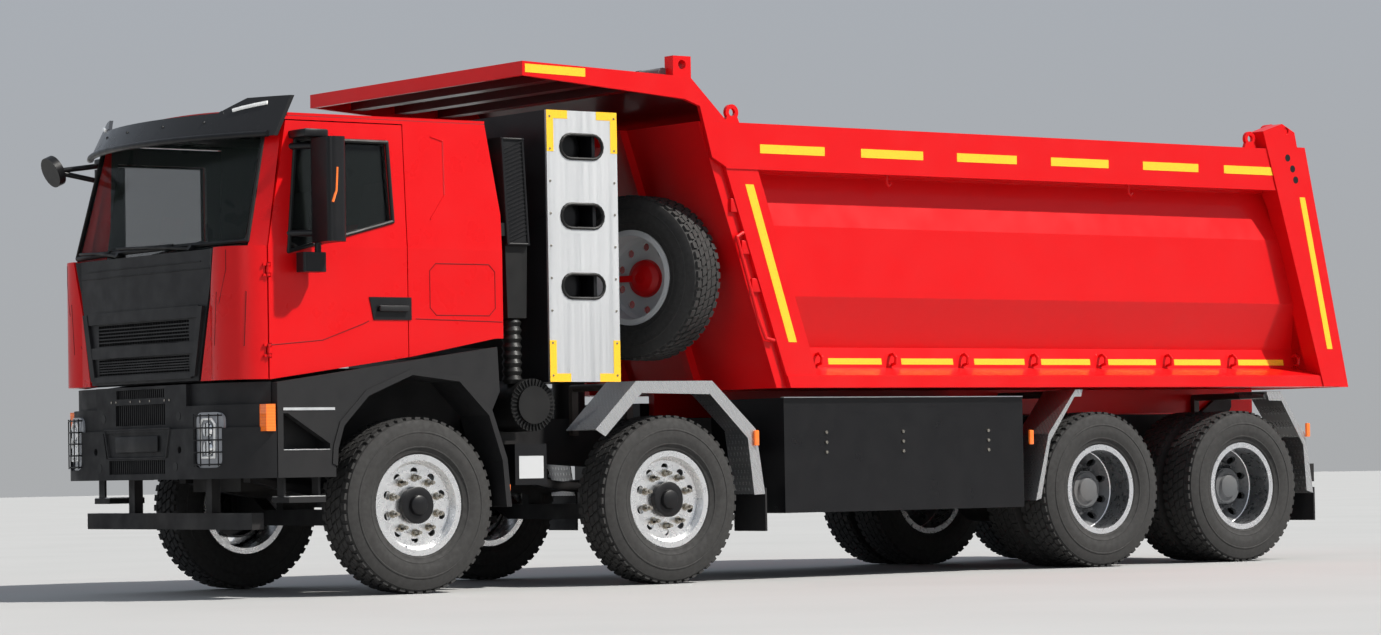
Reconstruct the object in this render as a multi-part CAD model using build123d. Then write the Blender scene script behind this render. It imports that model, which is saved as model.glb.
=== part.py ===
from build123d import *
import os
from math import cos, radians, sin

# An eight by four tipper truck, in millimetres: +X is its left side, the front faces -Y, +Z is up.
# The origin is on the ground under the middle of the truck.
# A distance named "behind" runs rearwards from the first axle, and a pair in brackets is low and high.

# Overall
overall_length = 9360
front_overhang = 1300
tail_behind = overall_length - front_overhang
axle_1_y = front_overhang - overall_length / 2
running_gap = 0.05
seat_gap = 0.3
moving_gap = 6

# Axles, wheels and steering
axle_behind = {1: 0, 2: 1910, 3: 5605, 4: 6980}
tyre_radius = 540
tyre_width = 315
tread_width = 256
shoulder_drop = 46
bulge_radius = 405
rim_seat_radius = 285
rim_flange_radius = 310
rim_width = 229
rim_flange = 12
rim_wall = 12
hub_z = tyre_radius
front_tyre_x = 1025
rear_outer_x = 1085
twin_spacing = 350
hand_holes = 10
hand_hole_radius = 26
hand_hole_circle = 205
front_disc_x = (62, 78)
front_disc_dish = 22
hub_radius = 108
hub_reach = 118
drum_radius = 205
drum_depth = 85
rear_hub_radius = 128
rear_hub_reach = 120
rear_disc = 26
spindle_radius = 45
king_pin_x = 925
king_pin_radius = 24
king_boss_radius = 42
king_boss_half = 100
jaw = 46
knuckle_half = 58
upright_x = (970, 992)
spindle_end_x = 1070
beam_half_width = 48
beam_z = (415, 515)
beam_end_z = (475, 605)
beam_drop_x = 600
axle_tube_radius = 78
diff_radius = 225
diff_half = 190

# Chassis
rail_x = (388, 400)
rail_flange = 80
rail_flange_thick = 12
rail_z = (780, 1070)
rail_behind = (-1000, tail_behind - 610)
cross_behind = (-950, 1330, 2700, 3700, 4750, 6290, tail_behind - 660)
cross_half = 45
cross_z = (940, 1056)
spring_half_length = 730
spring_x = (355, 435)
spring_thick = 62
spring_end_z = 735
spring_pad = 70
bogie_spring_half = 600
bogie_spring_x = (440, 530)
engine_x = 290
engine_behind = (-740, 480)
engine_z = (640, 1400)
engine_foot_behind = (-300, -200)
engine_foot_z = (850, 930)
gearbox_radius = 190
gearbox_behind = (480, 1250)
gearbox_z = 860
shaft_radius = 48
shaft_end_z = 575
shaft_stand = 4

# Bumper and lamps
bumper_half = 1205
bumper_z = (722, 1294)
bumper_flat_half = 700
bumper_rear_behind = -1030
bumper_wall = 85
bumper_step = 28
bumper_step_z = 1026
bumper_shoulder = 60
bumper_shoulder_x = 560
bumper_shoulder_z = 1162
lamp_x = (705, 940)
lamp_z = (788, 1120)
lamp_corner = 50
lamp_set_back = 14
bumper_slots = (
    # half width, low z, high z
    (300, 1222, 1276),
    (310, 1056, 1184),
    (350, 758, 842),
)
slot_depth = 45
plate_recess = (425, 856, 1012)
plate_depth = 10
tow_bore_radius = 22
tow_bore_x = 520
tow_bore_z = 900
underrun_half = 1015
underrun_behind = (-1095, -1015)
underrun_z = (415, 515)
underrun_step = 20
underrun_head_z = (720, 1010)
underrun_post_x = (440, 512)
bracket_width = 60
bumper_bracket_z = (760, 960)
corner_lamp_z = (1000, 1160)
corner_lamp_behind = (-1105, -1042)
corner_lamp_x = (1135, 1212)

# Cab
cab_half = 1150
cab_waist_z = 2105
cab_top_half = 1106
cab_eave_z = 2890
cab_crown_z = 2965
roof_corner = (780, -870)
cab_wall = 55
side_margin = 150
cab_back_behind = 645
cab_back_top_behind = 556
cab_back_knee_z = 2330
cab_front_behind = -1258
cab_front_flat = 800
cab_corner_behind = -985
cab_skin_low_z = 1310
door_front_behind = -1040
door_rear_behind = -58
door_low_z = (1308, 1442)
door_top_z = 2862
door_top_front_behind = -884
door_gap = 7
hinge_z = (1480, 1960)
hinge_half = 38
hinge_lug = 14
hinge_radius = 13
hinge_pin_radius = 7
hinge_stand = 2
hinge_leaf = 10
hinge_reach = 32
cab_rear_low_z = 1560
window_front = (-900, 2072)
window_top_z = 2752
window_top_behind = (-822, -170)
window_rear_low = (-152, 2268)
glass_thick = 6
floor_z = (1462, 1500)
tunnel_half = 330
tunnel_z = 1640
fire_wall_behind = (-1160, -1120)
fire_wall_half = 900
floor_front_behind = -1030
screen_low = (1062, -1128, -1222)
screen_top = (1000, -944, -1040)
screen_top_z = 2868
pillar_depth = 95
panel_top_half = 850
panel_low_half = 660
panel_z = (1314, 2098)
panel_wall = 52
panel_mesh_z = ((1374, 1472), (1558, 1686))
panel_mesh_half = 560
panel_bar = 14
panel_bars = 5
lid_hinge = (-1238, 2090)
lid_pin_radius = 6
lid_pin_x = (330, 414)
lid_stay_x = (352, 392)
lid_stay_half = 7
lid_notch_gap = 7
lid_notch_front = 12
lid_notch_z = 2060
lid_side_gap = 22
visor_low = (1142, -985, -1292)
visor_top = (1136, -860, -1150)
visor_z = (2765, 3012)
visor_notch = ((850, 3012), (680, 2930))
visor_thick = 26
visor_stay_x = 700
visor_stay_radius = 22
dash_points = ((-1105, 1560), (-1105, 2040), (-900, 2085), (-740, 1960), (-800, 1560))
dash_half = 1010
wheel_hub = (560, -560, 2080)
wheel_ring_radius = 225
wheel_ring_thick = 17
wheel_tilt = 55
seat_x = (300, 800)
seat_points = ((-420, 1520), (-420, 1900), (60, 1930), (180, 2560), (330, 2560), (260, 1760), (200, 1520))
mirror_x = (1210, 1460)
mirror_behind = (-792, -668)
mirror_z = (2120, 2745)
mirror_arm_radius = 20
mirror_corner = 45
kerb_mirror_x = (1190, 1300)
kerb_mirror_behind = (-880, -720)
kerb_mirror_z = (1945, 2062)
round_mirror = (-1150, -1238, 2700)
round_mirror_radius = 100
round_mirror_arm = 17
round_mirror_foot = (1072, -950)

# Front fenders and steps
fender_x = (885, 1212)
fender_arch = (
    # angle from the rear, radius from the hub
    (-2, 610), (24, 640), (48, 730), (70, 800), (95, 795), (120, 770), (139, 745), (150, 700), (158, 660),
)
fender_band = 38
valance_x = (1140, 1205)
step_box_behind = (-1024, -620)
step_box_z = (722, 1285)
step_recess_z = (884, 1105)
step_recess_x = 1050
low_step_behind = (-945, -690)
low_step_z = (572, 606)
low_step_x = (1000, 1195)
fender_bracket_behind = (-900, -850)
fender_bracket_z = (1000, 1060)

# Plate fenders and mud flaps
second_fender = ((1295, 985), (1612, 1285), (2213, 1285), (2557, 975), (2622, 560))
third_fender = ((5000, 476), (5123, 921), (5374, 1222), (5440, 1222))
fourth_fender = ((7240, 1206), (7379, 1206), (7625, 884), (7684, 480))
plate_fender_table = (
    # outline, point before its level top, depth of the lip
    (second_fender, 1, 78),
    (third_fender, 2, 40),
    (fourth_fender, 0, 60),
)
plate_thick = 10
lip_thick = 6
plate_x = (900, 1222)
fender_arm_radius = 24
fender_arm_sink = 6
fender_arm_inset = 80
fender_post = 36
fender_post_z = 960
flap_thick = 14
flaps = (
    # front face behind, low z, high z, inner x
    (2632, 320, 600, 890),
    (7694.5, 280, 520, 740),
)

# Equipment behind the cab
rack_behind = (972, 1356)
rack_z = (1290, 2995)
rack_half = 1166
rack_wall = 24
end_plate_x = (1166, 1184)
end_plate_behind = (972, 1516)
oval_z = (1891, 2332, 2770)
oval_behind = 1240
oval_length = 325
oval_height = 152
gas_radius = 172
gas_half = 1080
gas_shoulder = 80
rack_leg_x = (300, 400)
intake_x = (955, 1125)
intake_low = (700, 2140)
intake_top = (662, 2815)
intake_depth = 165
intake_louvres = 11
duct_z = 1690
hose_radius = 52
hose_rings = 8
filter_place = (873, 1147)
filter_radius = 165
filter_x = (850, 1128)
service_x = (760, 1090)
service_behind = (760, 1000)
service_z = (650, 905)
side_box_x = (400, 1180)
side_box_behind = (2832, 4920)
side_box_z = (432, 1184)

# Tipping bed
tip_pivot = (tail_behind - 460, 1150)
tip_pin_radius = 35
tip_boss_radius = 74
hinge_plate_x = (396, 432)
bed_half = 1250
bed_beam_x = (326, 388)
bed_beam_z = (1078, 1250)
bed_beam_behind = (2900, tail_behind - 130)
bed_floor_z = (1292, 1345)
bed_floor_half = 1000
bearer_half = 40
bearers = 11
rail_top_z = (2665, 2965)
rail_inner_x = 1120
low_rail_z = (1248, 1326)
shelf_z = 1392
wall_thick = 34
wall_outline = (
    # outer x, z, from the top rail down to the shelf
    (1062, 2650), (1148, 2311), (1145, 1850), (1010, 1520), (1042, 1300),
)
wall_lip = ((1126, 2672), (1126, 2704))
shelf_edge = 4
front_edge = ((2236, 2965), (2841, 1248))
front_post_width = 262
front_post_half = 1242
rear_edge = ((tail_behind - 754, 2965), (tail_behind - 266, 1248))
rear_post_top = ((tail_behind - 832, 3088), (tail_behind - 636, 3148), (tail_behind - 512, 3090))
rear_post_low_behind = tail_behind - 98
rear_post_inner_x = 1118
rear_post_half = 1258
headboard_thick = 90
headboard_half = 1214
headboard_ribs = (-820, -400, 400)
headboard_rib = 60
cheek_x = (1219, 1250)
canopy_tip_behind = 750
canopy_tip_z = (3195, 3285)
canopy_knee = (2060, 3243)
canopy_low = ((2014, 3100), (2134, 3060), (2226, 2735))
canopy_rear_behind = 2356
canopy_seat_z = 2675
canopy_skin = 30
canopy_beams = (1090, 1440, 1790)
canopy_beam_width = 100
canopy_beam_depth = 55
tarp_bracket_x = (1050, 1140)
tarp_bracket_behind = (2006, 2150)
tarp_bracket_z = 3390
tarp_hole_radius = 30
eye_behind = (2430, tail_behind - 910)
eye_x = (1178, 1204)
eye_height = 122
eye_radius = 52
eye_bore_radius = 25
gate_half = 1246
gate_thick = 84
gate_gap = 8
gate_low_z = 1244
gate_top_z = 2985
gate_pivot = (tail_behind - 598, 3100)
gate_pin_radius = 26
gate_ear_radius = 58
gate_ear_x = (1048, 1110)

# Spare wheel, its deep side forward and turned a little to the left
spare_x = 700
spare_behind = 2046
spare_z = 1977
spare_turn = 109
carrier_arm = 120
carrier_reach = 515
carrier_pin_radius = 52
clamp_outline = (
    # distance in front of the disc, radius
    (0, 125), (30, 118), (55, 85), (70, 40),
)
clamp_bar = 40
clamp_bar_length = 250
clamp_bar_stand = 20

# Telescopic hoist
hoist_behind = 1950
hoist_foot_z = 1060
hoist_eye_z = 2950
hoist_radius = (108, 90, 72, 54)
hoist_low_z = 985
hoist_top_z = 2700
hoist_step = 28
hoist_slip = 0.4
trunnion_radius = 40
trunnion_x = (165, 192)
trunnion_half = 62
trunnion_top_z = 1120
hoist_eye_radius = 62
hoist_eye_half = 48
hoist_ear_x = (60, 88)

# Rear bumper
rear_bar_half = 1150
rear_bar_behind = (tail_behind - 370, tail_behind - 280)
rear_bar_z = (560, 690)


# Small setbacks, sinks and cut allowances of the pieces below
cut_over = 10
skin_over = 100
seat_sink = 5
bracket_sink = 10

# Wheels, hubs and axles: small sizes
disc_flat_margin = 45
hole_cut = 120
drum_wall = 14
rear_disc_set = 40
rear_disc_bend = (200, 190)
rear_hole_shift = 22
rear_hole_cut = 110
rear_hub_back = 70
rear_bore_end = 60
beam_drop_run = 180
beam_trim = 60
axle_tube_inset = 76
axle_spindle_reach = 55
diff_rim = 120
diff_flat = 90
jaw_gap = 5
jaw_inset = 50
jaw_trim = 8

# Springs, frame brackets and tipping hinge: small sizes
hanger_half = 28
hanger_drop = 40
bogie_spring_rise = 60
bogie_pad = (40, 150)
bogie_trunnion_half = 90
trunnion_drop = 40
trunnion_rise = 110
tip_foot = (260, 160)
tip_foot_rise = 20
tip_head_half = 70
tip_head_drop = 30
tip_head_rise = 40
hanger_root = 120
hanger_sink = 20
hanger_toe = 60
hanger_thick = 40

# Cab: small sizes
recess_taper = 40
pillar_top_step = 20
eave_step = 10
roof_edge = 20
roof_overhang = 60
visor_stay_rise = 8
visor_stay_root = 65
front_bend_inset = 75
front_bend_share = 0.3
front_ring_depth = 300
cab_front_bow = 22
panel_window_over = 60
panel_bar_set = 12
wheel_spoke = (60, 18)
column_length = 300
column_radius = 32
mirror_arm_inset = (60, 40)
mirror_arm_sink = 60
round_mirror_half = 22
round_mirror_lean = 10
round_mirror_arms = (40, 60)
valance_gap = 22
valance_rear_behind = 560
valance_step = (60, 120)
valance_front_z = 1150
step_recess_inset = 40
step_strap = 14
step_strap_inset = 60

# Gear behind the cab: small sizes
single_arm_span = 300
cradle_x = 700
cradle_half = 30
cradle_under = 14
louvre_margin = 40
louvre_depth = 14
louvre_inset = 22
louvre_half = 16
duct_half = 70
duct_inset = 20
hose_sink = 30
hose_fold = 12
filter_cap_share = 0.72
filter_cap_depth = 22
filter_bracket_half = 60
filter_bracket_depth = 140
intake_foot_sink = 20
intake_foot_z = (60, 140)
service_bracket_inset = 60
service_bracket_rise = 20

# Bed and hoist: small sizes
eye_foot_half = 60
eye_neck_half = 30
headboard_rib_half = 35
hoist_ear_sink = 60
hoist_ear_front = 40
hoist_ear_drop = 70
hoist_ear_rise = 30
canopy_rear_wall = 60
tarp_bracket_sink = 40
tarp_hole_drop = 55
gate_ear_back = 30
gate_ear_drop = 45
gate_ear_front = 10
gate_ear_foot = 120
stage_rise = 14
hoist_end_wall = 12
hoist_neck_step = 10


def at(behind):
    return axle_1_y + behind


def block(x, behind, z):
    """Box between low and high limits."""
    centre = Pos((x[0] + x[1]) / 2, at((behind[0] + behind[1]) / 2), (z[0] + z[1]) / 2)
    return centre * Box(x[1] - x[0], behind[1] - behind[0], z[1] - z[0])


def side_prism(points, x):
    """Outline of (behind, z) points, thick along X."""
    outline = Polyline(*[(at(b), z) for b, z in points], close=True)
    return extrude(Plane.YZ.offset(x[0]) * make_face(outline), x[1] - x[0])


def end_prism(points, behind):
    """Outline of (x, z) points, thick along Y."""
    outline = Polyline(*points, close=True)
    return extrude(Plane.XZ.offset(-at(behind[1])) * make_face(outline), behind[1] - behind[0])


def soft_block(x, behind, z, radius):
    """Box whose corners are rounded as seen from the front."""
    face = Pos(sum(x) / 2, sum(z) / 2) * RectangleRounded(x[1] - x[0], z[1] - z[0], radius)
    return extrude(Plane.XZ.offset(-at(behind[1])) * face, behind[1] - behind[0])


def rod(start, end, radius):
    """Round bar between two points of x, behind and z."""
    a = Vector(start[0], at(start[1]), start[2])
    b = Vector(end[0], at(end[1]), end[2])
    return extrude(Plane(origin=a, z_dir=b - a) * Circle(radius), (b - a).length)


def bar_x(radius, x, behind, z):
    return rod((x[0], behind, z), (x[1], behind, z), radius)


def turned(points, x, behind, z):
    """Profile of (x, radius) points turned about a cross axis."""
    outline = Polyline(*points, close=True)
    return Pos(x, at(behind), z) * revolve(make_face(outline), Axis.X)


def right(solid):
    return mirror(solid, Plane.YZ)


def pair(solid):
    return [solid, right(solid)]


def arc_band(low, wall):
    """Face between a front arc of (half width, end behind, middle behind) and one a wall further in."""
    half, end, middle = low
    outer = ThreePointArc((-half, at(end)), (0, at(middle)), (half, at(end)))
    inner = ThreePointArc((half, at(end + wall)), (0, at(middle + wall)), (-half, at(end + wall)))
    left_end = Line((half, at(end)), (half, at(end + wall)))
    right_end = Line((-half, at(end + wall)), (-half, at(end)))
    return make_face([outer, left_end, inner, right_end])


def save(name, *solids):
    flat = []
    for item in solids:
        flat.extend(item if isinstance(item, list) else [item])
    whole = flat[0] if len(flat) == 1 else Compound(children=[Part(s.wrapped) for s in flat])
    export_step(whole, f"parts/{name}.step")


def largest(shape):
    return Part(max(shape.solids(), key=lambda s: s.volume).wrapped)


def edge_at(edge, z):
    """Distance behind of a slanted line at a height."""
    (b0, z0), (b1, z1) = edge
    return b0 + (b1 - b0) * (z - z0) / (z1 - z0)


os.makedirs("parts", exist_ok=True)


# Tyres and rims
bead = rim_width / 2
tyre_half = tyre_width / 2
tread_half = tread_width / 2
tyre_side = (
    (bead, rim_flange_radius + seat_gap),
    (bead + rim_flange, rim_flange_radius + seat_gap),
    (tyre_half, bulge_radius),
    (tyre_half - rim_flange, tyre_radius - shoulder_drop),
    (tread_half, tyre_radius),
)
tyre_profile = (
    [(-bead, rim_seat_radius + seat_gap), (bead, rim_seat_radius + seat_gap)]
    + list(tyre_side)
    + [(-x, r) for x, r in reversed(tyre_side)]
)


def tyre(x, behind, z=hub_z):
    return turned(tyre_profile, x, behind, z)


def rim_barrel(out):
    """Well and flanges; out is +1 where the outer face looks along +X."""
    edge = bead + rim_flange
    points = [
        (-edge, rim_flange_radius), (-bead - seat_gap, rim_flange_radius),
        (-bead - seat_gap, rim_seat_radius),
        (bead + seat_gap, rim_seat_radius), (bead + seat_gap, rim_flange_radius), (edge, rim_flange_radius),
        (edge, rim_seat_radius - rim_wall), (-edge, rim_seat_radius - rim_wall),
    ]
    return [(out * x, r) for x, r in points]


def front_rim(side, behind, z=hub_z, x=front_tyre_x, fitted=True):
    """Disc wheel with hand holes, and where it is fitted to an axle with its hub and brake drum."""
    well = turned(rim_barrel(side), side * x, behind, z)
    low, high = front_disc_x
    disc = [
        (low - front_disc_dish, rim_seat_radius - rim_wall / 2),
        (high - front_disc_dish, rim_seat_radius - rim_wall / 2),
        (high, hand_hole_circle + disc_flat_margin), (high, hub_radius / 2), (low, hub_radius / 2),
        (low, hand_hole_circle + disc_flat_margin),
    ]
    wheel = well + turned([(side * a, r) for a, r in disc], side * x, behind, z)
    for i in range(hand_holes):
        angle = radians(360 / hand_holes * (i + 0.5))
        place = (behind + hand_hole_circle * cos(angle), z + hand_hole_circle * sin(angle))
        wheel -= bar_x(hand_hole_radius, sorted((side * x, side * (x + hole_cut))), *place)
    if fitted:
        wheel += bar_x(hub_radius, sorted((side * (x - drum_depth + low), side * (x + hub_reach))), behind, z)
        drum = [(low, drum_radius), (low, hub_radius / 2), (low - drum_wall, hub_radius / 2),
            (low - drum_wall, drum_radius - drum_wall),
                (low - drum_depth, drum_radius - drum_wall), (low - drum_depth, drum_radius)]
        wheel += turned([(side * a, r) for a, r in drum], side * x, behind, z)
        wheel -= bar_x(spindle_radius + running_gap,
            sorted((side * x / 2, side * spindle_end_x + side)), behind, z)
    return wheel


def rear_rims(side, behind):
    """Twin rims back to back on one hub."""
    inner_x = rear_outer_x - twin_spacing
    middle = (rear_outer_x + inner_x) / 2
    disc_edge = rim_seat_radius - rim_wall / 2
    lean = middle - inner_x - bead - rim_flange + rear_disc_set
    cone = [
        (0, hub_radius / 2), (0, rear_disc_bend[0]), (lean, disc_edge), (lean + rear_disc, disc_edge),
        (rear_disc, rear_disc_bend[1]),
        (rear_disc, hub_radius / 2),
    ]
    wheel = None
    for x, out in ((rear_outer_x, 1), (inner_x, -1)):
        well = turned(rim_barrel(side), side * x, behind, hub_z)
        disc = turned([(side * out * a, r) for a, r in cone], side * middle, behind, hub_z)
        both = well + disc
        wheel = both if wheel is None else wheel + both
    for i in range(hand_holes):
        angle = radians(360 / hand_holes * (i + 0.5))
        place = (behind + (hand_hole_circle + rear_hole_shift) * cos(angle),
            hub_z + (hand_hole_circle + rear_hole_shift) * sin(angle))
        wheel -= bar_x(hand_hole_radius,
            sorted((side * (middle - rear_hole_cut), side * (middle + rear_hole_cut))), *place)
    hub_span = sorted((side * (middle - rear_hub_back), side * (middle + rear_disc + rear_hub_reach)))
    wheel += bar_x(rear_hub_radius, hub_span, behind, hub_z)
    wheel -= bar_x(spindle_radius + running_gap,
        sorted((side * inner_x / 2, side * (middle + rear_bore_end))), behind, hub_z)
    return wheel


for axle in (1, 2):
    for side, word in ((1, "left"), (-1, "right")):
        save(f"tyre_{axle}_{word}", tyre(side * front_tyre_x, axle_behind[axle]))
        save(f"rim_{axle}_{word}", front_rim(side, axle_behind[axle]))
for axle in (3, 4):
    for side, word in ((1, "left"), (-1, "right")):
        twins = [tyre(side * x, axle_behind[axle]) for x in (rear_outer_x, rear_outer_x - twin_spacing)]
        save(f"tyres_{axle}_{word}", twins)
        save(f"rims_{axle}_{word}", rear_rims(side, axle_behind[axle]))


# Axles, knuckles and springs
def front_beam(behind):
    """Dropped beam with a bored boss at each end."""
    end = king_pin_x
    drop_end = king_pin_x - beam_drop_run
    upper = [(-end, beam_end_z[1]), (-drop_end, beam_end_z[1]), (-beam_drop_x, beam_z[1])]
    lower = [(-beam_drop_x, beam_z[0]), (-drop_end, beam_end_z[0]), (-end, beam_end_z[0])]
    outline = upper + [(-x, z) for x, z in reversed(upper)] + [(-x, z) for x, z in reversed(lower)] + lower
    beam = end_prism(outline, (behind - beam_half_width, behind + beam_half_width))
    boss_z = (hub_z - king_boss_half, hub_z + king_boss_half)
    for side in (1, -1):
        place = (side * king_pin_x, behind)
        round_cut = rod((*place, boss_z[0]), (*place, boss_z[1]), king_boss_radius)
        trim_x = sorted((side * king_pin_x, side * (king_pin_x + beam_trim)))
        beam -= block(trim_x, (behind - beam_trim, behind + beam_trim), boss_z)
        beam += round_cut
        beam -= rod((*place, boss_z[0]), (*place, boss_z[1]), king_pin_radius + running_gap)
    return beam


def drive_axle(behind):
    """Banjo housing with tubes and spindle ends."""
    middle = (rear_outer_x + rear_outer_x - twin_spacing) / 2
    housing = bar_x(axle_tube_radius, (-(middle - axle_tube_inset), middle - axle_tube_inset), behind, hub_z)
    housing += turned(
        [(-diff_half, 0), (-diff_half, diff_rim), (-diff_flat, diff_radius), (diff_flat, diff_radius),
            (diff_half, diff_rim), (diff_half, 0)],
        0, behind, hub_z,
    )
    housing += bar_x(spindle_radius, (-(middle + axle_spindle_reach), middle + axle_spindle_reach),
        behind, hub_z)
    return housing


def knuckle(side, behind):
    """Forked knuckle with its king pin and spindle."""
    x = sorted((side * upright_x[0], side * upright_x[1]))
    half = king_boss_half + jaw_gap + jaw
    body = block(x, (behind - knuckle_half, behind + knuckle_half), (hub_z - half, hub_z + half))
    jaw_x = sorted((side * (king_pin_x - jaw_inset), side * upright_x[1]))
    for z in ((hub_z - half, hub_z - half + jaw), (hub_z + half - jaw, hub_z + half)):
        body += block(jaw_x, (behind - knuckle_half + jaw_trim, behind + knuckle_half - jaw_trim), z)
    body += rod((side * king_pin_x, behind, hub_z - half), (side * king_pin_x, behind, hub_z + half),
        king_pin_radius)
    body += bar_x(spindle_radius, sorted((side * upright_x[0], side * spindle_end_x)), behind, hub_z)
    return body


def leaf_pack(x, behind, half, middle_z, end_z):
    """Leaf spring as one curved pack."""
    top = ThreePointArc((at(behind - half), end_z), (at(behind), middle_z), (at(behind + half), end_z))
    low_z = middle_z - spring_thick
    low_end = end_z - spring_thick / 2
    low = ThreePointArc((at(behind + half), low_end), (at(behind), low_z), (at(behind - half), low_end))
    ends = [
        Line((at(behind + half), end_z), (at(behind + half), low_end)),
        Line((at(behind - half), low_end), (at(behind - half), end_z)),
    ]
    return extrude(Plane.YZ.offset(x[0]) * make_face([top, ends[0], low, ends[1]]), x[1] - x[0])


spring_low_z = beam_z[1] + spring_pad
springs = []
for axle in (1, 2):
    behind = axle_behind[axle]
    pack = leaf_pack(spring_x, behind, spring_half_length, spring_low_z + spring_thick, spring_end_z)
    pad = block(spring_x, (behind - beam_half_width, behind + beam_half_width),
        (beam_z[1], spring_low_z + seat_sink))
    whole = pack + pad
    for place in (-spring_half_length, spring_half_length):
        whole += block(spring_x, (behind + place - hanger_half, behind + place + hanger_half),
            (spring_end_z - hanger_drop, rail_z[0]))
    springs.extend(pair(whole))
bogie_behind = (axle_behind[3] + axle_behind[4]) / 2
bogie_low_z = hub_z + axle_tube_radius
bogie = leaf_pack(bogie_spring_x, bogie_behind, bogie_spring_half, rail_z[0] + bogie_spring_rise,
    bogie_low_z + spring_thick / 2)
for axle in (3, 4):
    seat = axle_behind[axle]
    inward = 1 if axle == 3 else -1
    span = sorted((seat - inward * bogie_pad[0], seat + inward * bogie_pad[1]))
    bogie += block(bogie_spring_x, span, (bogie_low_z, bogie_low_z + spring_thick / 2))
bogie += block((rail_x[1], bogie_spring_x[1]),
    (bogie_behind - bogie_trunnion_half, bogie_behind + bogie_trunnion_half),
    (rail_z[0] - trunnion_drop, rail_z[0] + trunnion_rise))
springs.extend(pair(bogie))
save("springs", springs)
save("axles", [front_beam(axle_behind[n]) for n in (1, 2)] + [drive_axle(axle_behind[n]) for n in (3, 4)])
for axle in (1, 2):
    for side, word in ((1, "left"), (-1, "right")):
        save(f"knuckle_{axle}_{word}", knuckle(side, axle_behind[axle]))


# Ladder frame with hoist trunnion plates, tipping hinge plates and pin
def channel(side):
    x = sorted((side * rail_x[0], side * rail_x[1]))
    rail = block(x, rail_behind, rail_z)
    inner = sorted((side * (rail_x[1] - rail_flange), side * rail_x[1]))
    rail += block(inner, rail_behind, (rail_z[0], rail_z[0] + rail_flange_thick))
    rail += block(inner, rail_behind, (rail_z[1] - rail_flange_thick, rail_z[1]))
    return rail


frame = channel(1) + channel(-1)
for behind in cross_behind:
    frame += block((-rail_x[0], rail_x[0]), (behind - cross_half, behind + cross_half), cross_z)
for side in (1, -1):
    plate = sorted((side * trunnion_x[0], side * trunnion_x[1]))
    span = (hoist_behind - trunnion_half, hoist_behind + trunnion_half)
    frame += block(plate, span, (cross_z[0], trunnion_top_z))
    frame += block(sorted((side * trunnion_x[0], side * rail_x[0])), span, cross_z)
    frame -= bar_x(trunnion_radius + running_gap, plate, hoist_behind, hoist_foot_z)
    ear = side_prism(
        ((tip_pivot[0] - tip_foot[0], rail_z[0] + tip_foot_rise),
            (tip_pivot[0] - tip_foot[1], rail_z[0] + tip_foot_rise),
         (tip_pivot[0] + tip_head_half, tip_pivot[1] - tip_head_drop),
         (tip_pivot[0] + tip_head_half, tip_pivot[1] + tip_head_rise),
         (tip_pivot[0] - tip_head_half, tip_pivot[1] + tip_head_rise),
         (tip_pivot[0] - tip_foot[0], rail_z[1])),
        sorted((side * hinge_plate_x[0], side * hinge_plate_x[1])),
    )
    frame += ear
frame += bar_x(tip_pin_radius, (-hinge_plate_x[1], hinge_plate_x[1]), *tip_pivot)
save("frame", frame)


# Engine, gearbox and shafts
engine = block((-engine_x, engine_x), engine_behind, engine_z)
gearbox = rod((0, gearbox_behind[0], gearbox_z), (0, gearbox_behind[1], gearbox_z), gearbox_radius)
front_shaft = rod((0, gearbox_behind[1] + shaft_stand, gearbox_z),
                  (0, axle_behind[3] - diff_radius - shaft_stand, shaft_end_z), shaft_radius)
rear_shaft = rod((0, axle_behind[3] + diff_radius + seat_gap, shaft_end_z),
                 (0, axle_behind[4] - diff_radius - seat_gap, shaft_end_z), shaft_radius)
for foot in pair(block((engine_x - seat_sink, rail_x[0]), engine_foot_behind, engine_foot_z)):
    engine += foot
save("driveline", engine + gearbox, front_shaft, rear_shaft)


# Front bumper, its lamps and the underrun bar
def bumper_outline(inset):
    """Plan of the bumper, drawn in by an inset."""
    half = bumper_half - inset
    flat = bumper_flat_half
    front = at(-front_overhang + inset)
    corner = at(bumper_rear_behind)
    edges = [
        Line((-flat, front), (flat, front)),
        TangentArc((flat, front), (half, corner), tangent=(1, 0)),
        Line((half, corner), (-half, corner)),
        TangentArc((-flat, front), (-half, corner), tangent=(-1, 0)),
    ]
    return make_face(edges)


def plan_solid(face, z):
    return extrude(Pos(0, 0, z[0]) * face, z[1] - z[0])


bumper = plan_solid(bumper_outline(0), (bumper_z[0], bumper_step_z))
bumper += plan_solid(bumper_outline(bumper_step), (bumper_step_z, bumper_z[1]))
bumper -= plan_solid(bumper_outline(bumper_wall), bumper_z)
shoulder_z = (bumper_shoulder_z, bumper_z[1])
shoulder = plan_solid(bumper_outline(0), shoulder_z) - plan_solid(bumper_outline(bumper_shoulder), shoulder_z)
shoulder -= block((-bumper_shoulder_x, bumper_shoulder_x),
    (-front_overhang - 1, bumper_rear_behind), shoulder_z)
bumper -= shoulder
front_span = (-front_overhang - 1, -front_overhang + bumper_step + slot_depth)
for half, low, high in bumper_slots:
    bumper -= block((-half, half), front_span, (low, high))
half, low, high = plate_recess
plate_points = ((-half, high), (half, high), (half - recess_taper, low), (-half + recess_taper, low))
bumper -= end_prism(plate_points, (-front_overhang - 1, -front_overhang + plate_depth))
lamp_opening = soft_block(lamp_x, (-front_overhang - 1, bumper_rear_behind), lamp_z, lamp_corner)
for opening in pair(lamp_opening):
    bumper -= opening
for side in (1, -1):
    bumper -= rod((side * tow_bore_x, -front_overhang - 1, tow_bore_z),
                  (side * tow_bore_x, -front_overhang + bumper_wall + 1, tow_bore_z), tow_bore_radius)
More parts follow.
